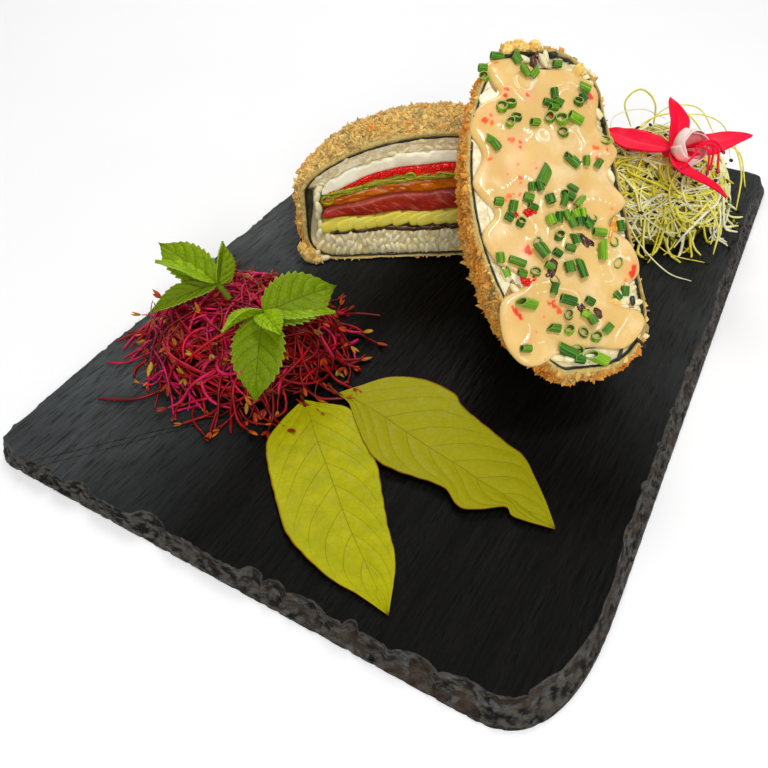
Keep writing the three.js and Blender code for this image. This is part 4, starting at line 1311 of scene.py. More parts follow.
def sauceFinish():
    poured = Finish("sauce", 0.15, (0.2, 3, 2, 1), True, Coat_Weight=0.35, Coat_Roughness=0.1)
    base = poured.mottle(poured.place, 18, 2, 0.5, 0.25, (235, 196, 120), (227, 184, 110))
    pale = poured.mottle(poured.place, 7, 3, 0.6, 0.15, base, (242, 209, 152))
    blushed = poured.blend(poured.value("blush"), pale, (238, 140, 96))
    # painted highlight along the crests
    crestHighlight = poured.blend(poured.ranged("crest", 0, 1, 0, 0.75), blushed, (255, 238, 200))
    speck = poured.blend(poured.value("red"), (255, 110, 4), (232, 14, 4))
    colour = poured.blend(poured.ranged("speck", 0, 1, 0, 0.9), crestHighlight, speck)
    return poured.end(colour, 10, 0.18, 0.32, poured.grain(poured.place, 6, 1, 0.2, 0.6))


sauceTop = localOf(makeSauce(sauceFinish()))
sauceTop = sauceTop[sauceTop[:, 2] > sauce["foot"] - 0.02]


def sauceAt(u, v):
    # height of the sauce over a place on the face
    return sauceTop[np.argmin(np.hypot(sauceTop[:, 0] - u, sauceTop[:, 1] - v)), 2]


def chunk(place, heading, size, seed, rough, within=faceMatrix, **values):
    # an uneven lump, on the front half's face if nothing else is said: its middle, heading, and size each way
    s, a = polarGrid(14, 20, math.pi)
    ball = np.stack([-np.cos(s), np.sin(s) * np.cos(a), np.sin(s) * np.sin(a)], axis=-1).reshape(-1, 3)
    ball = np.sign(ball) * np.abs(ball) ** 0.8
    uneven = lumps(ball + seed * 3.7, 0.9, seed) + 0.5 * lumps(ball + seed, 0.45, seed + 1)
    ball = ball * (1 + rough * uneven)[:, None]
    local = moved(ball * np.array(size) / 2, turned("Z", heading)) + np.array(place)
    flags = {label: np.full(len(local), value) for label, value in values.items()}
    return close(makePiece("chunk", moved(local, within), gridFaces(14, 20, wrapColumns=True), {
        "local": local * mm, **flags}), 0.001)


# bits in and beside the sauce: along the cut, across it, height, heading, length, width, thickness
faceBits = {
    "mushroom": [
        (-14, -8.5, 1.3, 40, 5.6, 3.6, 1.8), (-12, -6.5, 1.2, 0, 3.5, 2.6, 1.6),
        (-15.6, -10.3, 1.2, 80, 3, 2, 1.5), (-22, 4, 1.3, 60, 3.0, 6, 2.0),
        (-24.2, 5.5, 1.2, 0, 2.6, 3, 1.8), (-35.5, -2.6, 1.3, 20, 3.6, 3.4, 1.8),
        (-37.8, -7.5, 1.4, 70, 3.0, 3.6, 1.9), (-36.6, -5, 1.2, 0, 2, 3, 1.5),
        (48.6, -3, 1.6, 10, 6.0, 2.0, 2), (52, -5, 1.2, 70, 4, 2, 1.6)],
    "orange": [
        (-11.2, -17.8, 1.5, 62, 2.0, 10, 0.8), (-12.4, -16, 1.3, 75, 1.6, 6, 0.7),
        (-10.2, -20, 1.2, 58, 1.2, 5, 0.8)],
    "batter": [(-33.8, -12.4, 0.9, 20, 4.0, 2.6, 2.0), (-34.4, -15, 0.8, -30, 3.0, 2.4, 2.0)],
    "nori": [
        (52.4, 0.8, 1.2, 4, 1.1, 12, 2.6), (51.6, -9.8, 1.8, 20, 2.4, 2.2, 3.0),
        (31, 19.8, 0.7, 10, 2.2, 1.4, 1.6), (-34.5, -20.3, 0.3, 0, 3.0, 1.6, 0.9),
        (-47.8, -19.6, 0.6, 40, 4, 0.9, 1.4), (-51.4, -12.5, 0.6, 60, 1.0, 5, 1.4),
        (27, -22.9, 0.8, 10, 3, 1.2, 1.4)],
    "cheese": [(38.4, 13.8, 0.2, 30, 5.5, 7, 0.9)],
    "roe": [
        (-3.1, 8.4, 1.9, 30, 2.2, 2.6, 1.3), (-2.8, 6.9, 1.8, 0, 1.4, 1.8, 1.2),
        (-3.6, 12.8, 1.5, 0, 1.4, 2.2, 1.2), (-25.6, 11.6, 1.3, 30, 1.4, 4.2, 1.3),
        (-24.6, 13.4, 1.2, 0, 2.2, 1.4, 1.2)]}
# loose grains: along, across, height, heading, tilt
faceGrains = [
    (51.0, 0.6, 1.6, 70, 10), (51.4, -7.2, 2.0, 10, 50), (50.2, -6.2, 1.4, 30, 20), (-33, -17.4, 0.6, 30, 5),
    (-34.4, -16, 0.5, 70, 5), (-29.5, -19, 0.7, 20, 5), (-22, 18.6, 0.4, 20, 5), (-27.5, 16.4, 0.4, 30, 5),
    (-50.2, 7, 0.6, 80, 5), (-50.8, 3.5, 0.6, 80, 5), (-51, 0, 0.6, 70, 5), (-51, -3.2, 0.6, 80, 5),
    (8, -21.3, 0.6, 20, 5), (30, -21.7, 0.6, 30, 5)]


def makeFaceBits(looks):
    for kind, spots in faceBits.items():
        piece = joined("front_bits_" + kind, [
            chunk((u, v, z), heading, size, 170 + k, 0.35, cover=1.0)
            for k, (u, v, z, heading, *size) in enumerate(spots)])
        material, slot = looks[kind]
        if kind == "roe":
            beads = sprinkled("front_bits_beads", piece, beadTree, material, 0.75, *filling["beads"][1:4],
                0, 5)
            dress(beads, material, slot)
        dress(piece, material, slot)
    spots = []
    for k, (u, v, z, heading, tilt) in enumerate(faceGrains):
        heading, tilt = math.radians(heading), math.radians(tilt)
        way, middle = np.array([math.cos(heading), math.sin(heading), math.sin(tilt)]), np.array([u, v, z])
        ends = moved([middle - way * 2.9, middle + way], faceMatrix)
        spots.append((ends[0], aimed(ends[1] - ends[0], k * 0.7), (5.4, 2.5, 2.2), (k * 0.37) % 1))
    grains = placed("front_bits_grains", spindle(9, 8, 1.0, 0.0, 0.45), spots, grainMaterial)
    dress(grains, grainMaterial, "rice")


def makeTornCrust():
    # the flap at the top of the front cut, a lump of batter beside it and one at the foot of the back half
    parts = [chunk((55.4 - 0.03 * v ** 2, v, 1.7 + 0.4 * math.sin(v)), 0, (3.6, 4.4, 2.4), 190 + v, 0.4,
        cover=0.8, browned=0.12) for v in (-4, -1, 2, 5)]
    parts.append(chunk((45.6, -17.8, 1.0), 20, (4.2, 5.2, 2.8), 197, 0.4, cover=0.2, browned=0.0))
    lumpsAtFoot = [(-54.5, -1.2, 3.6, 6, 4, 5.5), (-51.5, -1.6, 1.8, 6, 4, 3.4),
        (-56.5, -0.5, 6.5, 3.5, 4, 5)]
    for k, (x, y, z, *size) in enumerate(lumpsAtFoot):
        parts.append(chunk((x, y, z), 0, size, 200 + k, 0.4, backHalf["matrix"], cover=0.3, browned=0.22))
    flap = joined("front_tornCrust", parts)
    crumbs = sprinkled("front_tornCrumbs", flap, crumbTree, crumbMaterial, 1.3, (0.7, 0.6, 0.5),
        (2.2, 1.6, 1.3), 1.2, 0, 9)
    for piece in (flap, crumbs):
        dress(piece, batterMaterial, "panko_crust")


batterMaterial = foodFinish("friedBatter", (250, 216, 130), (230, 184, 90), (238, 164, 60), 2.4, 1.2, 0.7,
    wet=0.5, dry=0.8, grain=1.2, bump=0.9, shine=0.2)
darkBitMaterial = foodFinish("darkBit", (96, 56, 46), (58, 32, 26), (150, 110, 90), 1.2, 0.5, wet=0.15,
    dry=0.35, bump=0.5, shine=0.3)
orangeBitMaterial = foodFinish("orangeBit", (232, 164, 50), (204, 128, 28), (244, 196, 100), 2, wet=0.15,
    dry=0.35, bump=0.3)
makeFaceBits({
    "mushroom": (darkBitMaterial, "mushroom"), "orange": (orangeBitMaterial, "orange_slice"),
    "batter": (batterMaterial, "panko_crust"), "nori": (noriMaterial, "nori"),
    "cheese": (cheeseMaterial, "cream_cheese"), "roe": (roeMaterial, "red_roe")})
makeTornCrust()
print("sauce done")

chives = {
    # each kind's length, radius across and how round it is
    "kinds": {
        "r": (1.9, 1.9, 0.85), "t": (3.1, 1.4, 0.9), "T": (4.8, 1.5, 0.9), "s": (3.2, 1.35, 0.85),
        "S": (5.0, 1.75, 0.75), "h": (0.7, 2.1, 0.8)},
    "around": 14, "wall": 0.78, "skew": 0.22,
    # along the cut, across it, kind, heading in degrees, shade from 0 (dark) to 1 (light)
    # kinds: r ring seen from its end, t tube lying down, s slanted piece, h thin hoop
    "spots": [
        (52.5, 9, "T", 80, 0.2), (50.5, 3, "s", 30, 0.4), (48.5, 14.5, "t", 90, 0.4),
        (45.5, 14.5, "r", 80, 0.9), (45.5, 1, "s", 40, 0.5), (44.5, -2, "s", -40, 0.5),
        (48.5, -11, "t", 85, 0.3), (34.5, 7.8, "r", 5, 0.4), (33.5, 10.8, "r", 10, 0.7),
        (29.5, 6.6, "r", -15, 0.1), (27.8, 9, "r", 60, 0.8), (37, -7.5, "t", 10, 0.2),
        (34, -4.5, "t", 70, 0.2), (33.8, -8, "s", 60, 0.3), (32, -6.2, "t", 90, 0.3),
        (33.5, -15, "r", 40, 0.15), (35, -17, "t", 20, 0.1), (38, -18, "s", 60, 0.6),
        (28.5, -4.3, "r", 80, 0.35), (27.5, -8, "r", 50, 0.9), (27.3, -12.5, "T", 60, 0.8),
        (23, -7.7, "r", 70, 0.25), (27, 1, "t", 80, 0.5), (19.5, -21.5, "h", 50, 0.5),
        (22, 16.5, "s", 60, 0.3), (20, 15, "s", 20, 0.3), (13.5, -8, "s", 45, 0.2), (12, -9.5, "t", 40, 0.2),
        (12.3, -13.5, "t", 5, 0.5), (11, -17.2, "t", -30, 0.2), (8, 1.5, "S", -35, 0.4), (5, 6, "t", 0, 0.2),
        (5, 3.5, "t", 20, 0.2), (3.5, -7.5, "s", 50, 0.2), (1, -5.5, "s", 60, 0.1), (0.3, 0.8, "t", 5, 0.15),
        (-0.5, -3.8, "s", -20, 0.2), (-1.5, -8.3, "s", -50, 0.6), (1.3, 7.8, "t", 60, 0.4),
        (-1.7, 6.8, "t", 70, 0.2), (0.8, 17.5, "t", 80, 0.4), (-1.2, 13.2, "t", -20, 0.2),
        (-4.5, 15, "t", 60, 0.05), (-6.5, 11.5, "r", -30, 0.1), (-6.7, 1.8, "t", 10, 0.9),
        (-6, -1, "t", 0, 0.05), (-5.5, -3.7, "t", 10, 0.5), (-5.2, -6.6, "t", 20, 0.8),
        (-5.3, -9, "t", 0, 0.9), (-8, -5, "s", 30, 0.3), (-8, -7.5, "t", 0, 0.05), (-8.6, -10, "s", 40, 0.1),
        (-6.7, -12, "h", 0, 0.1), (-10, -21, "t", 10, 0.15), (-12, -13, "T", 85, 0.7),
        (-15.3, -17.5, "h", 20, 0.2), (-18.5, -12.6, "S", -10, 0.95), (-22.5, -17.3, "h", 60, 0.2),
        (-12, 0, "r", -20, 0.1), (-13.5, -5, "s", 10, 0.15), (-16.3, -2.7, "t", 75, 0.2),
        (-17.5, 1.7, "t", 50, 0.05), (-16.5, 6.5, "S", 30, 0.25), (-13.5, 7.3, "h", 80, 0.2),
        (-21.5, 5, "t", 60, 0.3), (-17.5, 20, "t", 5, 0.5), (-19.3, 15, "T", 70, 0.4),
        (-23, 14, "t", 80, 0.3), (-21.8, 18.5, "s", 20, 0.7), (-23, 9.7, "r", 70, 0.4),
        (-26, 4, "h", -30, 0.1), (-29, 4.8, "t", -20, 0.05), (-22.5, -1.2, "t", 0, 0.2),
        (-23.8, -5, "S", 20, 0.15), (-33, 1.2, "T", 75, 0.1), (-37.5, 1.8, "r", 80, 0.1),
        (-34, -5.5, "t", 70, 0.15), (-38, -3.5, "t", 60, 0.8), (-40, -5.2, "t", 20, 0.3),
        (-32.7, -15.3, "t", 30, 0.2), (-31.5, -18, "t", 0, 0.15), (-33, 14, "S", 70, 0.75),
        (-41.3, 7, "s", 70, 0.3), (-42.3, 2.5, "r", 10, 0.9), (-43.5, -1.8, "r", 60, 0.05),
        (-45.3, -5.5, "r", 0, 0.7), (-43.2, -9.5, "t", -50, 0.4), (-46.8, 17.2, "t", 75, 0.3),
        (-48.7, 3.8, "S", 60, 0.2), (-48.7, 0.8, "r", 20, 0.4), (-51.5, 0.8, "t", 80, 0.1),
        (-51.8, -5.3, "S", 60, 0.9)],
}


def chiveShape(skew):
    # a cut tube, one millimetre in radius and length, whose upper end may be slanted
    count, wall = chives["around"], chives["wall"]
    around = np.linspace(0, fullTurn, count, endpoint=False)
    rings = [(1, -0.5, 1, 0), (1, -0.45, 0, 0), (1.02, 0, 0, 0), (1, 0.45, 0, 0), (1, 0.5, 1, 0),
        (wall, 0.5, 1, 0.3), (wall, 0.44, 0, 1), (wall, -0.44, 0, 1), (wall, -0.5, 1, 0.3)]
    points, ends, inner = [], [], []
    for r, z, end, inside in rings:
        r = r * (1 + 0.05 * np.sin(3 * around + 4 * z))
        slope = skew * np.cos(around) * (z > 0.3)
        points.append(np.column_stack([r * np.cos(around), r * np.sin(around), z + slope]))
        ends += [end] * count
        inner += [inside] * count
    points = np.vstack(points)
    faces = gridFaces(len(rings), count, wrapRows=True, wrapColumns=True)
    return close(makePiece("shape", points, faces, {"local": points, "end": ends, "inner": inner}), 0.0001)


def makeChives(material):
    rng = np.random.default_rng(111)
    straight, slanted = [], []
    facing = Matrix(faceMatrix.tolist()).to_3x3()
    for u, v, kind, heading, shade in chives["spots"]:
        length, radius, roundness = chives["kinds"][kind]
        length, girth = length * rng.uniform(0.85, 1.15), radius * rng.uniform(0.85, 1.12)
        oval = roundness * rng.uniform(0.85, 1.1)
        lies = kind in "tTsS"
        tip = math.radians(rng.uniform(70, 88) if lies else rng.uniform(5, 32))
        spin = Matrix.Rotation(math.radians(heading + rng.uniform(-8, 8)), 3, "Z")
        # the tube's axis is its Z: tipped over to lie on the sauce, then turned to its heading
        turn = facing @ spin @ Matrix.Rotation(tip, 3, "Y") @ Matrix.Rotation(rng.uniform(0, 6.3), 3, "Z")
        height = sauceAt(u, v) - 0.15 + (girth * 0.85 if lies else length * 0.45)
        place = moved([[u, v, height]], faceMatrix)[0]
        spot = (place, list(turn.to_euler()), (girth, girth * oval, length), shade)
        (slanted if kind in "sS" else straight).append(spot)
    tubes = placed("tubes", chiveShape(0), straight, material)
    cuts = placed("cuts", chiveShape(chives["skew"]), slanted, material)
    dress(joined("chives", [tubes, cuts], False), material, "flat_leaf")


def chiveFinish():
    chive = Finish("chive", 0.3, None, True)
    # each piece shows its own part of the pattern; lengths here are in thousandths of its radius
    tone = chive.value("tone")
    shift = add(chive.tree, "CombineXYZ", {0: chive.math("MULTIPLY", tone, 40.0)})
    chive.place = add(chive.tree, "VectorMath", {0: chive.place, 1: shift}, operation="ADD")
    along = chive.stretched((1, 1, 0.1))
    dark = chive.mottle(along, 300, 3, 0.5, 0.12, (20, 66, 14), (70, 132, 30))
    light = chive.mottle(along, 300, 3, 0.5, 0.12, (88, 150, 10), (156, 196, 40))
    skin = chive.blend(chive.ranged(tone, 0.1, 0.9), dark, light)
    # painted shade inside each hollow tube
    shadedInside = chive.blend(chive.ranged("inner", 0, 1, 0, 0.75), skin, (92, 84, 30))
    colour = chive.blend(chive.ranged("end", 0.3, 1, 0, 0.7), shadedInside, (160, 196, 96))
    return chive.end(colour, 800, 0.3, 0.5, chive.grain(along, 200, 2, 0.4, 0.12))


makeChives(chiveFinish())
print("chives done")

# the edge's distance from the middle line, at shares of the length: (share, distance)
flatLeaves = {
    "leaf_right": {
        "base": (-8.9, -75.1), "tip": (75.5, -90.6), "veins": 9, "lift": 1.7, "shade": 0.85,
        "minus": [
            (0, 0.3), (0.07, 1.3), (0.14, 5.4), (0.25, 11.4), (0.34, 14.5), (0.43, 13.6), (0.6, 9.6),
            (0.69, 12.3), (0.75, 9.6), (0.82, 3.4), (0.86, 4.6), (0.93, 2.7), (1, 0.1)],
        "plus": [
            (0, 0.3), (0.04, 6.9), (0.11, 17), (0.23, 23.4), (0.37, 24.3), (0.45, 20.8), (0.66, 17.4),
            (0.75, 16.6), (0.85, 10.6), (0.92, 6), (1, 0.1)]},
    "leaf_left": {
        "base": (-17.7, -83.6), "tip": (45.3, -138), "veins": 9, "lift": 0.9, "shade": 0.0,
        "minus": [
            (0, 0.3), (0.09, 10.5), (0.2, 17.1), (0.49, 19.2),
            (0.63, 18.4), (0.8, 12.1), (0.9, 5.7), (1, 0.1)],
        "plus": [
            (0, 0.3), (0.04, 5), (0.11, 13.3), (0.23, 14.6), (0.42, 14.1), (0.53, 12.3), (0.68, 9.6),
            (0.83, 7.4), (1, 0.1)]},
}


# Curved side veins, from how far along and across the leaf a place is, and a fine net between them.
def makeVeins():
    group, give, out = newGroup("veins", {
        "Place": (0, 0, 0), "Along": 0.0, "Across": 0.0, "Count": 8.0, "Width": 0.06, "Rib": 0.03,
        "Net": 0.002}, {"Mask": "Float", "Net": "Float"})

    def step(kind, first, second=0.0):
        return add(group, "Math", {0: first, 1: second}, operation=kind)

    def fall(value, high, low=0.0, most=1.0, how="LINEAR"):
        return add(group, "MapRange", {"Value": value, "From Min": low, "From Max": high, "To Min": most,
            "To Max": 0.0}, interpolation_type=how)

    side = step("ABSOLUTE", give["Across"])
    curve = step("ADD", step("MULTIPLY", side, 0.2), step("MULTIPLY", step("POWER", side, 3.0), 0.13))
    row = step("FRACT", step("MULTIPLY", step("SUBTRACT", give["Along"], curve), give["Count"]))
    near = step("SUBTRACT", 0.5, step("ABSOLUTE", step("SUBTRACT", row, 0.5)))
    line = step("MULTIPLY", fall(near, give["Width"], how="SMOOTHSTEP"), fall(side, 0.98, 0.75, 0.8))
    cells = addNode(group, "TexVoronoi", {"Vector": give["Place"], "Scale": step("DIVIDE", 1.0, give["Net"])},
        feature="DISTANCE_TO_EDGE").outputs["Distance"]
    group.links.new(step("MAXIMUM", line, fall(side, give["Rib"], how="SMOOTHSTEP")), out["Mask"])
    group.links.new(fall(cells, 0.12), out["Net"])
    return group


veinGroup = makeVeins()


def leafFaces(rows, columns):
    # both sides of a sheet and its edge
    count = rows * columns
    rim = list(range(columns)) + [row * columns + columns - 1 for row in range(1, rows)] \
        + [(rows - 1) * columns + k for k in range(columns - 2, -1, -1)] \
        + [row * columns for row in range(rows - 2, 0, -1)]
    edge = [(here, after, count + after, count + here) for here, after in zip(rim, rim[1:] + rim[:1])]
    return gridFaces(rows, columns) + gridFaces(rows, columns, count) + edge


def quilted(s, far, veins):
    # the leaf swells between its side veins
    return np.sin(math.pi * (((s - 0.2 * far - 0.13 * far ** 3) * veins) % 1))


def leafPiece(name, layers, s, a, edge, tone, distance=0.004):
    return close(makePiece(name, np.vstack([layer.reshape(-1, 3) for layer in layers]), leafFaces(*s.shape), {
        "along": np.tile(s.ravel(), 2), "across": np.tile(a.ravel(), 2), "edge": np.tile(edge.ravel(), 2),
        "tone": np.full(2 * s.size, tone)}), distance)


def makeFlatLeaf(name, leaf, material, stalkMaterial):
    base, tip = np.array(leaf["base"]), np.array(leaf["tip"])
    run = tip - base
    length = np.linalg.norm(run)
    run /= length
    side = np.array([-run[1], run[0]])
    shares = np.linspace(0, 1, 150)
    s, a = np.meshgrid(shares, np.linspace(-1, 1, 45), indexing="ij")
    far = np.abs(a)

    def edge(stops):
        line = smoothLine(stops, 400)
        notches = 0.22 * np.abs(np.sin(line[:, 0] * 46)) * np.sin(math.pi * line[:, 0])
        return np.maximum(np.interp(shares, line[:, 0], line[:, 1] + notches), 0.1)[:, None]

    minus, plus = edge(leaf["minus"]), edge(leaf["plus"])
    middle = 0.18 * (plus - minus) * (1 - s * 0.4)
    off = middle + a * np.where(a < 0, minus + middle, plus - middle)
    flat = base + run * (s * length)[..., None] + side * off[..., None]
    quilt = 0.35 * quilted(s, far, leaf["veins"]) * (1 - far ** 3) * np.minimum(far * 4, 1)
    lift = leaf["lift"] * far ** 1.5 * np.sin(math.pi * s) ** 0.7 \
        + 0.35 * (lumps(flatAt(flat[..., 0], flat[..., 1]), 14, 121) + 1) * far
    z = slateBoard["top"] + 0.45 + lift + quilt
    layers = [np.concatenate([flat, (z + up)[..., None]], axis=-1) for up in (0.4, 0.0)]
    rim = np.maximum(far, ramp(s, 0.9, 1.0))
    piece = leafPiece(name.replace("leaf", "flatLeaf"), layers, s, a, rim, leaf["shade"], 0.01)
    dress(piece, material, "flat_leaf", name)
    height = slateBoard["top"] + 0.8
    root = base - run * 5.5 + side * 1.2
    line = [(*root, height), (*(base - run * 2), height + 0.3), (*(base + run * 3), height + 0.2)]
    stalk = strands(name.replace("leaf", "leafStalk"), [smoothLine(line, 12)], 0.75, stalkMaterial, [0.5],
        [np.linspace(1.2, 0.6, 12)], 8)
    dress(stalk, stalkMaterial, "flat_leaf")


def leafFinish(name, first, second, dark, vein, rim, patch, veins, width, rib, net, netShare, veinShare,
        rimStart=0.965, grain=0.9, shine=0.12):
    leaf = Finish(name, shine, (0.06, 1, 2, 0.5))
    lines = addNode(leaf.tree, "Group", {"Place": leaf.place, "Along": leaf.value("along"),
        "Across": leaf.value("across"), "Count": veins, "Width": width, "Rib": rib, "Net": net * mm},
        node_tree=veinGroup).outputs
    base = leaf.mottle(leaf.place, patch, 4, 0.5, 0.2, first, second)
    colour = leaf.blend(leaf.ranged("tone", 0, 1), base, dark)
    colour = leaf.blend(leaf.ranged(lines["Net"], 0, 1, 0, netShare), colour, vein)
    colour = leaf.blend(leaf.ranged(lines["Mask"], 0, 1, 0, veinShare), colour, vein)
    colour = leaf.blend(leaf.ranged("edge", rimStart, 1), colour, rim)
    sunk = add(leaf.tree, "Bump", {"Height": lines["Mask"], "Strength": 0.5, "Distance": 0.0003}, invert=True)
    fine = leaf.grain(leaf.place, grain, 3, 0.35, 0.2)
    both = add(leaf.tree, "VectorMath", {0: sunk, 1: fine}, operation="ADD")
    return leaf.end(colour, 4, 0.42, 0.62, add(leaf.tree, "VectorMath", {0: both}, operation="NORMALIZE"))


leafMaterial = leafFinish("yellowGreenLeaf", (174, 170, 0), (158, 158, 0), (148, 144, 0), (100, 98, 2),
    (132, 84, 14), patch=7, veins=9.0, width=0.045, rib=0.02, net=2.6, netShare=0.14, veinShare=0.6)
stalkMaterial = foodFinish("leafStalk", (120, 54, 24), (86, 30, 14), None, 1.5, shine=0.2)
for name, leaf in flatLeaves.items():
    makeFlatLeaf(name, leaf, leafMaterial, stalkMaterial)
print("flat leaves done")


def makeBlade(start, end, halfWidth, roll, cup, droop, tone, seed, kind, sway=0.0):
    # a thin leaf from start to end; droop bends it, cup folds its sides up, sway bends it sideways
    start = np.array(start, float)
    run = np.array(end, float) - start
    length = np.linalg.norm(run)
    run /= length
    side = np.cross([0, 0, 1.0], run)
    side /= np.linalg.norm(side)
    up = np.cross(run, side)
    angle = math.radians(roll)
    side, up = side * math.cos(angle) + up * math.sin(angle), up * math.cos(angle) - side * math.sin(angle)
    s, a = np.meshgrid(np.linspace(0, 1, kind["rows"]), np.linspace(-1, 1, kind["columns"]), indexing="ij")
    far, arch = np.abs(a), np.sin(math.pi * s)
    full = np.maximum(np.sin(math.pi * s ** 0.78), 0) ** (kind["taper"] + kind["point"] * ramp(s, 0.5, 1.0))
    teeth = ((s * kind["teeth"]) % 1.0 - 0.6) * ramp(far, 0.78, 1.0) * (np.abs(s - 0.5) < 0.47)
    wide = (halfWidth * full + 0.25 * (1 - s)) * (1 + 0.15 * teeth * (kind["teeth"] > 0))
    pillow = kind["quilt"] * quilted(s, far, kind["veins"]) * (1 - far ** 4) * np.minimum(far * 5, 1)
    at = np.stack([s * length, a * wide, np.full_like(s, seed * 9.0)], axis=-1)
    height = cup * far * wide / halfWidth + droop * arch + pillow + 0.4 * lumps(at, 5, 130 + seed) * far
    off = a * wide + sway * arch * (1 - 1.6 * (s > 0.5) * (s - 0.5))
    layers = [start + run * (s * length)[..., None] + side * off[..., None] + up * (height + lift)[..., None]
        for lift in (kind["thick"], 0.0)]
    return leafPiece("blade", layers, s, a, far, tone)


mint = {
    "veins": 6, "teeth": 12, "quilt": 0.75, "thick": 0.45, "taper": 0.62, "point": 0.55,
    "rows": 96, "columns": 21,
    # tip, half width, roll, shade from 0 (bright) to 1 (dark), cup, droop
    "sprigs": {
        "mint_sprig_left": {
            "node": (-62.6, -67.6, 29), "foot": (-56, -69.5, 26.2),
            "leaves": [
                ((-92.4, -62.5, 33), 7.0, -18, 0.6, 1.0, 1.5), ((-86.6, -71.5, 32.5), 7.4, 22, 0.0, 1.6, 1.6),
                ((-67.2, -56.4, 39), 4.2, 60, 0.75, 3.0, 0.6), ((-77.5, -88, 24), 4.2, -14, 1.0, 1.8, 1.8)]},
        "mint_sprig_right": {
            "node": (-36.4, -75.3, 32), "foot": (-39, -73, 26.5),
            "leaves": [
                ((-23.5, -50.2, 31), 9.4, 25, 0.8, 1.4, 1.8), ((-17.5, -60.5, 29), 7.6, -8, 0.25, 1.6, 1.2),
                ((-43.5, -89, 31), 5.0, 35, 0.1, 3.0, 1.0), ((-22.5, -84.6, 35.5), 4.4, 5, 0.05, 1.4, 1.0),
                ((-27.5, -96.5, 13), 8.8, 0, 0.85, 1.0, 2.2)]}},
}


def makeMint(name, sprig, material):
    node, foot = np.array(sprig["node"], float), np.array(sprig["foot"], float)
    parts = [makeBlade(node, tip, halfWidth, roll, cup, droop, tone, index, mint)
        for index, (tip, halfWidth, roll, tone, cup, droop) in enumerate(sprig["leaves"])]
    s = np.linspace(0, 1, 12)[:, None]
    stem = foot + (node - foot) * s * 1.12 + np.array([0, 0, 0.8]) * np.sin(math.pi * s)
    parts.append(strands("stem", [stem], 1.1, material, [0.6], None, 10))
    dress(joined(name.replace("_", ""), parts), material, "mint", name)


mintMaterial = leafFinish("mintLeaf", (160, 190, 14), (134, 170, 6), (104, 124, 2), (70, 90, 4),
    (150, 176, 60), patch=4, veins=6.0, width=0.09, rib=0.05, net=1.7, netShare=0.4, veinShare=0.7,
    rimStart=0.94, grain=0.7, shine=0.1)
for name, sprig in mint["sprigs"].items():
    makeMint(name, sprig, mintMaterial)
print("mint done")

sproutHeaps = {
    "red": {
        "node": "red_sprouts", "centre": (-51.5, -71), "reach": (38, 34), "height": 18.5, "strands": 440,
        "radius": 0.46, "length": (20, 48), "seed": 141, "roam": 0.25, "waves": 2.6, "skew": 1.25,
        "curl": 0.09, "stray": 1.0, "dark": 0.5, "bold": (8, 1.2, 0.7),
        "strays": [
            [(-60, -98, 8), (-68, -110, 7), (-80, -117, 7)], [(-20, -64, 10), (-14, -60, 8), (-8, -54, 6.8)],
            [(-34, -92, 12), (-28, -96, 8), (-22, -97, 7)], [(-72, -50, 14), (-80, -40, 9), (-84, -30, 7.2)],
            [(-78, -92, 9), (-84, -99, 7), (-90, -102, 6.9)],
            [(-26, -52, 12), (-20, -46, 8), (-10, -46, 6.9)],
            [(-50, -100, 8), (-46, -108, 7), (-38, -112, 6.9)],
            [(-84, -80, 9), (-90, -84, 7.4), (-95, -92, 6.9)],
            [(-30, -44, 10), (-24, -36, 7.6), (-16, -32, 6.9)],
            [(-22, -78, 9), (-14, -80, 7.2), (-6, -76, 6.9)]]},
    "pale": {
        "node": "pale_sprouts", "centre": (55, 93), "reach": (32, 37), "height": 32, "strands": 520,
        "radius": 0.48, "length": (24, 60), "seed": 151, "roam": 0.08, "waves": 3.0, "skew": 0.85,
        "curl": 0.1, "stray": 0.72, "dark": 0.0, "bold": (9, 1.15, 0.85),
        "strays": [
            [(48, 62, 20), (60, 54, 12), (74, 48, 7), (84, 47, 6.9)],
            [(34, 116, 30), (28, 121, 38), (33, 124, 44), (41, 122, 40), (44, 116, 30)],
            [(76, 88, 27), (82, 85, 22), (86, 82, 14), (84, 78, 8)],
            [(80, 100, 24), (86, 97, 18), (88, 92, 9)], [(60, 60, 14), (72, 58, 9), (86, 62, 7)],
            [(78, 76, 26), (86, 72, 18), (88, 68, 8)], [(70, 118, 30), (82, 116, 30), (90, 110, 18)],
            [(40, 110, 34), (48, 120, 41), (60, 122, 42), (70, 114, 36)],
            [(36, 104, 32), (44, 114, 38), (56, 118, 40), (66, 112, 36)],
            [(46, 112, 34), (58, 122, 39), (72, 120, 38), (80, 108, 30)],
            [(30, 100, 28), (26, 112, 34), (36, 120, 37), (48, 118, 36)],
            [(64, 108, 36), (76, 112, 37), (86, 104, 28), (90, 96, 14)]]},
}
stemStep, coreShare, coreGrid = 1.6, 0.8, (26, 60)


def heapHeight(heap, x, y):
    # height of the heap's skin over a place given from its centre, 0 outside
    away = np.hypot(x / heap["reach"][0], y / heap["reach"][1])
    return heap["height"] * np.sqrt(np.maximum(1 - away ** 2.2, 0))


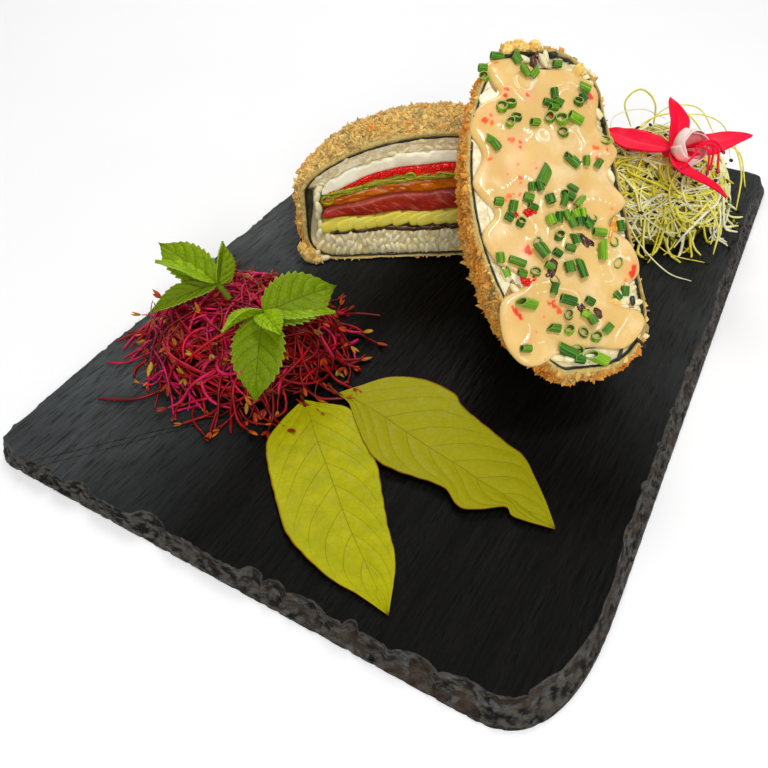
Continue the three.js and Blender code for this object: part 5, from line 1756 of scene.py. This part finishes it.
def wander(heap, rng, length):
    # a strand that bends about just inside the heap's skin; a few run out over the board
    angle, away = rng.uniform(0, fullTurn), math.sqrt(rng.uniform(0, 0.95))
    x, y = away * math.cos(angle) * heap["reach"][0], away * math.sin(angle) * heap["reach"][1]
    heading, curl = rng.uniform(0, fullTurn), rng.normal(0, heap["curl"])
    lift, depth, waves = rng.uniform(0, 6.3), rng.uniform(-1.0, 4), rng.uniform(0.4, 1) * heap["waves"]
    free = 1.22 if rng.random() < heap["roam"] else 0.97
    hand = rng.choice((-1, 1)) * (free < 1)  # most strands bend round the foot of the heap
    path = []
    for k in range(max(6, int(length / stemStep))):
        path.append((x, y, heapHeight(heap, x, y) - depth + waves * math.sin(lift + k * 0.2)))
        heading += curl + rng.normal(0, 0.05)
        x += stemStep * math.cos(heading)
        y += stemStep * math.sin(heading)
        out = math.hypot(x / heap["reach"][0], y / heap["reach"][1])
        if out > free and k > 5:  # ends at the foot of the heap
            break
        if out > 0.62:
            heading += 0.3 * abs(hand) * math.sin(math.atan2(y, x) + hand * 1.75 - heading)
    line = np.array(path)
    line[:, 2] = np.maximum(line[:, 2], 0.6)
    for _ in range(2):
        line[1:-1] = (line[:-2] + line[1:-1] * 2 + line[2:]) / 4
    return line + [*heap["centre"], slateBoard["top"] + 0.4]


def makeHeapCore(name, heap, material):
    s, a = polarGrid(*coreGrid)
    x, y = s * heap["reach"][0] * coreShare * np.cos(a), s * heap["reach"][1] * coreShare * np.sin(a)
    at, wide = flatAt(x, y), coreShare + 0.04
    z = heapHeight(heap, x / wide, y / wide) - 5.4 + 1.6 * lumps(at, 4, 161) + 0.9 * lumps(at, 2, 162)
    top, around = np.stack([x, y, np.maximum(z, 0.1)], axis=-1).reshape(-1, 3), coreGrid[1]
    points = np.vstack([top, top[-around:] * [1, 1, 0], [[0, 0, 0]]])
    points += [*heap["centre"], slateBoard["top"] + 0.3]
    faces = gridFaces(*coreGrid, wrapColumns=True) + footFaces(len(top) - around, len(top), around)
    dress(close(makePiece(name, points, faces)), material, heap["node"], heap["node"])


def makeSprouts(kind, material, coreMaterial):
    heap = sproutHeaps[kind]
    rng = np.random.default_rng(heap["seed"])
    paths = [wander(heap, rng, rng.uniform(*heap["length"])) for _ in range(heap["strands"])]
    paths += [smoothLine(stray, 22) for stray in heap["strays"]]
    every, wider, least = heap["bold"]  # every so many strands a wider, brighter one
    tones, thick = [], []
    for k, (path, tone) in enumerate(zip(paths, rng.uniform(0, 1, len(paths)) ** heap["skew"])):
        stray = k >= heap["strands"]
        bold = k % every == 0 and not stray
        # painted shade: strands towards the heap's right side are darker, by its dark share
        tone = tone * (1 - heap["dark"] * float(ramp(np.mean(path[:, 0]) - heap["centre"][0], -6, 16)))
        tones.append(max(tone, least) if bold else tone)
        ends = (2 * np.linspace(0, 1, len(path)) - 1) ** 6
        width = np.clip(rng.normal(1, 0.2), 0.5, 1.5) * (wider if bold else 1)
        thick.append(width * (1 - 0.45 * ends) * (heap["stray"] if stray else 1.0))
    makeHeapCore(kind + "SproutCore", heap, coreMaterial)
    stems = strands(kind + "SproutStems", paths, heap["radius"], material, tones, thick, 5)
    dress(stems, material, heap["node"])
    return paths, rng


def seedLeaves(paths, rng, share, sizes, spread):
    # a pair of seed leaves at the ends of a share of the stems
    spots = []
    for path in paths:
        if rng.random() > share:
            continue
        way = path[-1] - path[-3]
        way = way / max(np.linalg.norm(way), 1e-6) + [0, 0, 0.25]
        length, tone = rng.uniform(*sizes), rng.uniform()
        across = np.cross(way, rng.normal(size=3))
        across /= max(np.linalg.norm(across), 1e-6)
        for hand in (-1, 1):
            turn = aimed(way + across * hand * spread * rng.uniform(0.4, 1.2), rng.uniform(-0.5, 0.5))
            spots.append((path[-1], turn, (length * rng.uniform(0.7, 1), length * 0.28, length * 0.3), tone))
    return spots


def makeHairs(kind, rng, count, material):
    heap = sproutHeaps[kind]
    paths = [wander(heap, rng, rng.uniform(9, 26)) + [0, 0, rng.uniform(0.5, 3)] for _ in range(count)]
    piece = strands(kind + "SproutHairs", paths, 0.17, material, list(rng.uniform(0, 1, count)), None, 4)
    dress(piece, material, heap["node"])


def makeSmallShapes(name, shape, spots, material, slot):
    dress(placed(name, spindle(*shape), spots, material), material, slot)


def sproutFinish(name, low, middle, high, gloss, patchDarkening=0.45, light=0.15):
    stem = Finish(name, 0.25, (light, 1, 0.8, 0.6))
    colour = stem.blend(stem.ranged("tone", 0, 0.5), low, middle)
    colour = stem.blend(stem.ranged("tone", 0.5, 1), colour, high)
    # darker in soft random patches
    colour = stem.blend(1.0, colour, stem.mottle(stem.place, 4, 2, 0.5, 0.2, 1, patchDarkening), "MULTIPLY")
    return stem.end(colour, 3, gloss, gloss + 0.2, stem.grain(stem.place, 0.8, 2, 0.2, 0.1))


redMaterial = sproutFinish("redSproutStem", (112, 2, 2), (196, 6, 24), (232, 26, 118), 0.3)
paleMaterial = sproutFinish("paleSproutStem", (236, 222, 10), (250, 240, 110), (255, 253, 226), 0.3, 0.8, 0.3)
redCoreMaterial = foodFinish("redSproutShade", (60, 8, 8), (40, 14, 4), (120, 34, 8), 3, bump=0.8, shine=0.1)
paleCoreMaterial = foodFinish("paleSproutShade", (216, 200, 80), (180, 164, 60), (110, 96, 34), 3, bump=0.8,
    shine=0.1)
redPaths, redRandom = makeSprouts("red", redMaterial, redCoreMaterial)
palePaths, paleRandom = makeSprouts("pale", paleMaterial, paleCoreMaterial)
redLeafMaterial = sproutFinish("redSeedLeaf", (140, 20, 6), (214, 84, 14), (186, 160, 28), 0.35)
redHairMaterial = sproutFinish("redHair", (96, 24, 10), (140, 40, 14), (170, 70, 30), 0.4)
seedMaterial = sproutFinish("blackSeed", (14, 12, 8), (34, 26, 12), (60, 44, 14), 0.3)
paleLeafMaterial = sproutFinish("paleSeedLeaf", (150, 160, 10), (196, 190, 20), (216, 206, 60), 0.35)
leafShape, seedShape = (8, 8, 0.3, 0.12), (7, 7, 0.8, 0.0, 0.6)
redLeaves = seedLeaves(redPaths, redRandom, 0.42, (3.2, 5.8), 0.35)
makeSmallShapes("redSproutLeaves", leafShape, redLeaves, redLeafMaterial, "red_sprouts")
makeHairs("red", redRandom, 70, redHairMaterial)
makeHairs("pale", paleRandom, 12, paleMaterial)
paleSeeds = [(place, turn, (2.5, 1.7, 1.5), tone)
    for place, turn, _, tone in seedLeaves(palePaths, paleRandom, 0.42, (2, 2.4), 0.2)[::2]]
makeSmallShapes("paleSproutSeeds", seedShape, paleSeeds, seedMaterial, "pale_sprouts")
paleLeaves = seedLeaves(palePaths, paleRandom, 0.14, (3, 4.6), 0.6)
makeSmallShapes("paleSproutLeaves", leafShape, paleLeaves, paleLeafMaterial, "pale_sprouts")
print("sprouts done")

fuchsia = {
    "joint": (58.5, 77.7, 42.6), "neckEnd": (56.4, 79.8, 40.6), "facing": (0.66, -0.55, 0.6),
    "radius": 7.6, "length": 10.5, "stand": 4.0, "petals": 5,
    # the sepals' shape, and each one's tip, half width, roll and sideways bend
    "veins": 0, "teeth": 0, "quilt": 0.0, "thick": 0.9, "rows": 40, "columns": 15, "taper": 0.8, "point": 0.0,
    "sepals": [
        ((49.4, 97.5, 54.5), 3.6, 0, -2.6), ((26.8, 92.7, 36), 5.4, -20, 3.0),
        ((85.3, 91, 49.5), 4.8, 20, -2.8), ((84.8, 61.5, 37.5), 3.6, -10, -11)],
    "stamens": [
        [(62, 74.6, 46), (68.5, 70.5, 51.5), (73.6, 71.5, 51), (75.1, 68, 46)],
        [(62, 74.6, 46), (69, 71, 52), (75, 72, 51), (77.8, 68.5, 45.1)],
        [(62, 74.6, 46), (68, 70, 51), (72.6, 69.6, 50), (74.6, 66.2, 44.6)],
        [(62, 74.6, 46), (69, 72, 52), (73.5, 74.5, 52), (76.6, 75.6, 49)],
        [(62, 74.6, 46), (67.5, 69, 51), (68.3, 64, 50), (65.7, 60.1, 46.4)]],
}


def makePetal(index, place):
    # a curved sheet that is rolled about the flower's axis
    s, a = np.meshgrid(np.linspace(0, 1, 18), np.linspace(0, 1, 22), indexing="ij")
    angle = index * fullTurn / fuchsia["petals"] + 0.4 + a * 2.3
    spread = 0.35 + 0.65 * np.sin(np.minimum(s * 1.25, 1) * math.pi / 2) ** 0.8
    radius = fuchsia["radius"] * spread * (1 - 0.24 * a) * (1 - 0.2 * (np.maximum(s - 0.55, 0) / 0.45) ** 1.5)
    height = fuchsia["length"] * s ** 0.9 * (0.88 + 0.14 * np.sin(a * math.pi))
    height += 0.4 * np.sin(a * 9 + index) * s ** 2
    sheets = [[(radius + out) * np.cos(angle), (radius + out) * np.sin(angle), height - out * 0.3]
        for out in (0, 0.35)]
    inside = np.repeat([1.0, 0.0], s.size) * (1 - 0.6 * ramp(np.tile(s.ravel(), 2), 0.6, 1.0))
    points = np.moveaxis(np.array(sheets), 1, -1).reshape(-1, 3)
    return close(makePiece("petal", moved(points, place), leafFaces(*s.shape), {
        "tone": inside, "along": np.tile(s.ravel() ** 3, 2)}), 0.002)


def makeFuchsia(sepalMaterial, petalMaterial, antherMaterial):
    joint, axis = np.array(fuchsia["joint"]), np.array(fuchsia["facing"])
    axis = axis / np.linalg.norm(axis)
    middle = joint + axis * fuchsia["stand"]
    sepals = [makeBlade(joint, tip, halfWidth, roll, 1.4, 1.6, 0.3 + 0.1 * index, index, fuchsia, sway)
        for index, (tip, halfWidth, roll, sway) in enumerate(fuchsia["sepals"])]
    neck = smoothLine([fuchsia["neckEnd"], joint, middle], 14)
    sepals.append(strands("neck", [neck], 2.6, sepalMaterial, [0.3], [np.linspace(0.8, 1, 14)], 14))
    dress(joined("fuchsiaSepals", sepals), sepalMaterial, "fuchsia_sepal", "fuchsia_sepals")
    place = shifted(*middle) @ np.array(Vector(axis).to_track_quat("Z", "Y").to_matrix().to_4x4())
    petals = [makePetal(index, place) for index in range(fuchsia["petals"])]
    dress(joined("fuchsiaPetals", petals), petalMaterial, "fuchsia_petal", "fuchsia_corolla")
    lines = [smoothLine(line, 18) for line in fuchsia["stamens"]]
    stamens = strands("fuchsiaStamens", lines, 0.46, sepalMaterial, [0.5] * len(lines), None, 8)
    dress(stamens, sepalMaterial, "fuchsia_sepal")
    spots = [(line[-1], aimed(line[-1] - line[-3] + [0, 0, 0.1], k), (2.4, 1.7, 1.5), k / 5)
        for k, line in enumerate(lines)]
    anthers = placed("fuchsiaAnthers", spindle(10, 10, 0.9, 0.0, 0.5), spots, antherMaterial)
    dress(anthers, antherMaterial, "fuchsia_sepal")


def petalFinish(name, base, rib, tip, inside):
    petal = Finish(name, 0.15, (0.2, 2, 1.2, 1.2))
    along = petal.stretched((1, 1, 0.5))
    body = petal.mottle(along, 4, 3, 0.5, 0.25, base, rib)
    colour = petal.blend(petal.ranged("along", 0.7, 1.0, 0, 0.7), body, tip)
    colour = petal.blend(petal.ranged("tone", 0.6, 1.0), colour, inside)
    return petal.end(colour, 4, 0.35, 0.5, petal.grain(along, 1.2, 2, 0.25, 0.2))


makeFuchsia(petalFinish("fuchsiaSepal", (255, 10, 60), (236, 4, 50), (246, 8, 60), (246, 8, 60)),
    petalFinish("fuchsiaPetal", (255, 230, 220), (255, 206, 196), (255, 232, 224), (255, 166, 164)),
    foodFinish("fuchsiaAnther", (190, 14, 50), (120, 8, 40), (200, 60, 70), 0.8, 0.4))
print("fuchsia done")
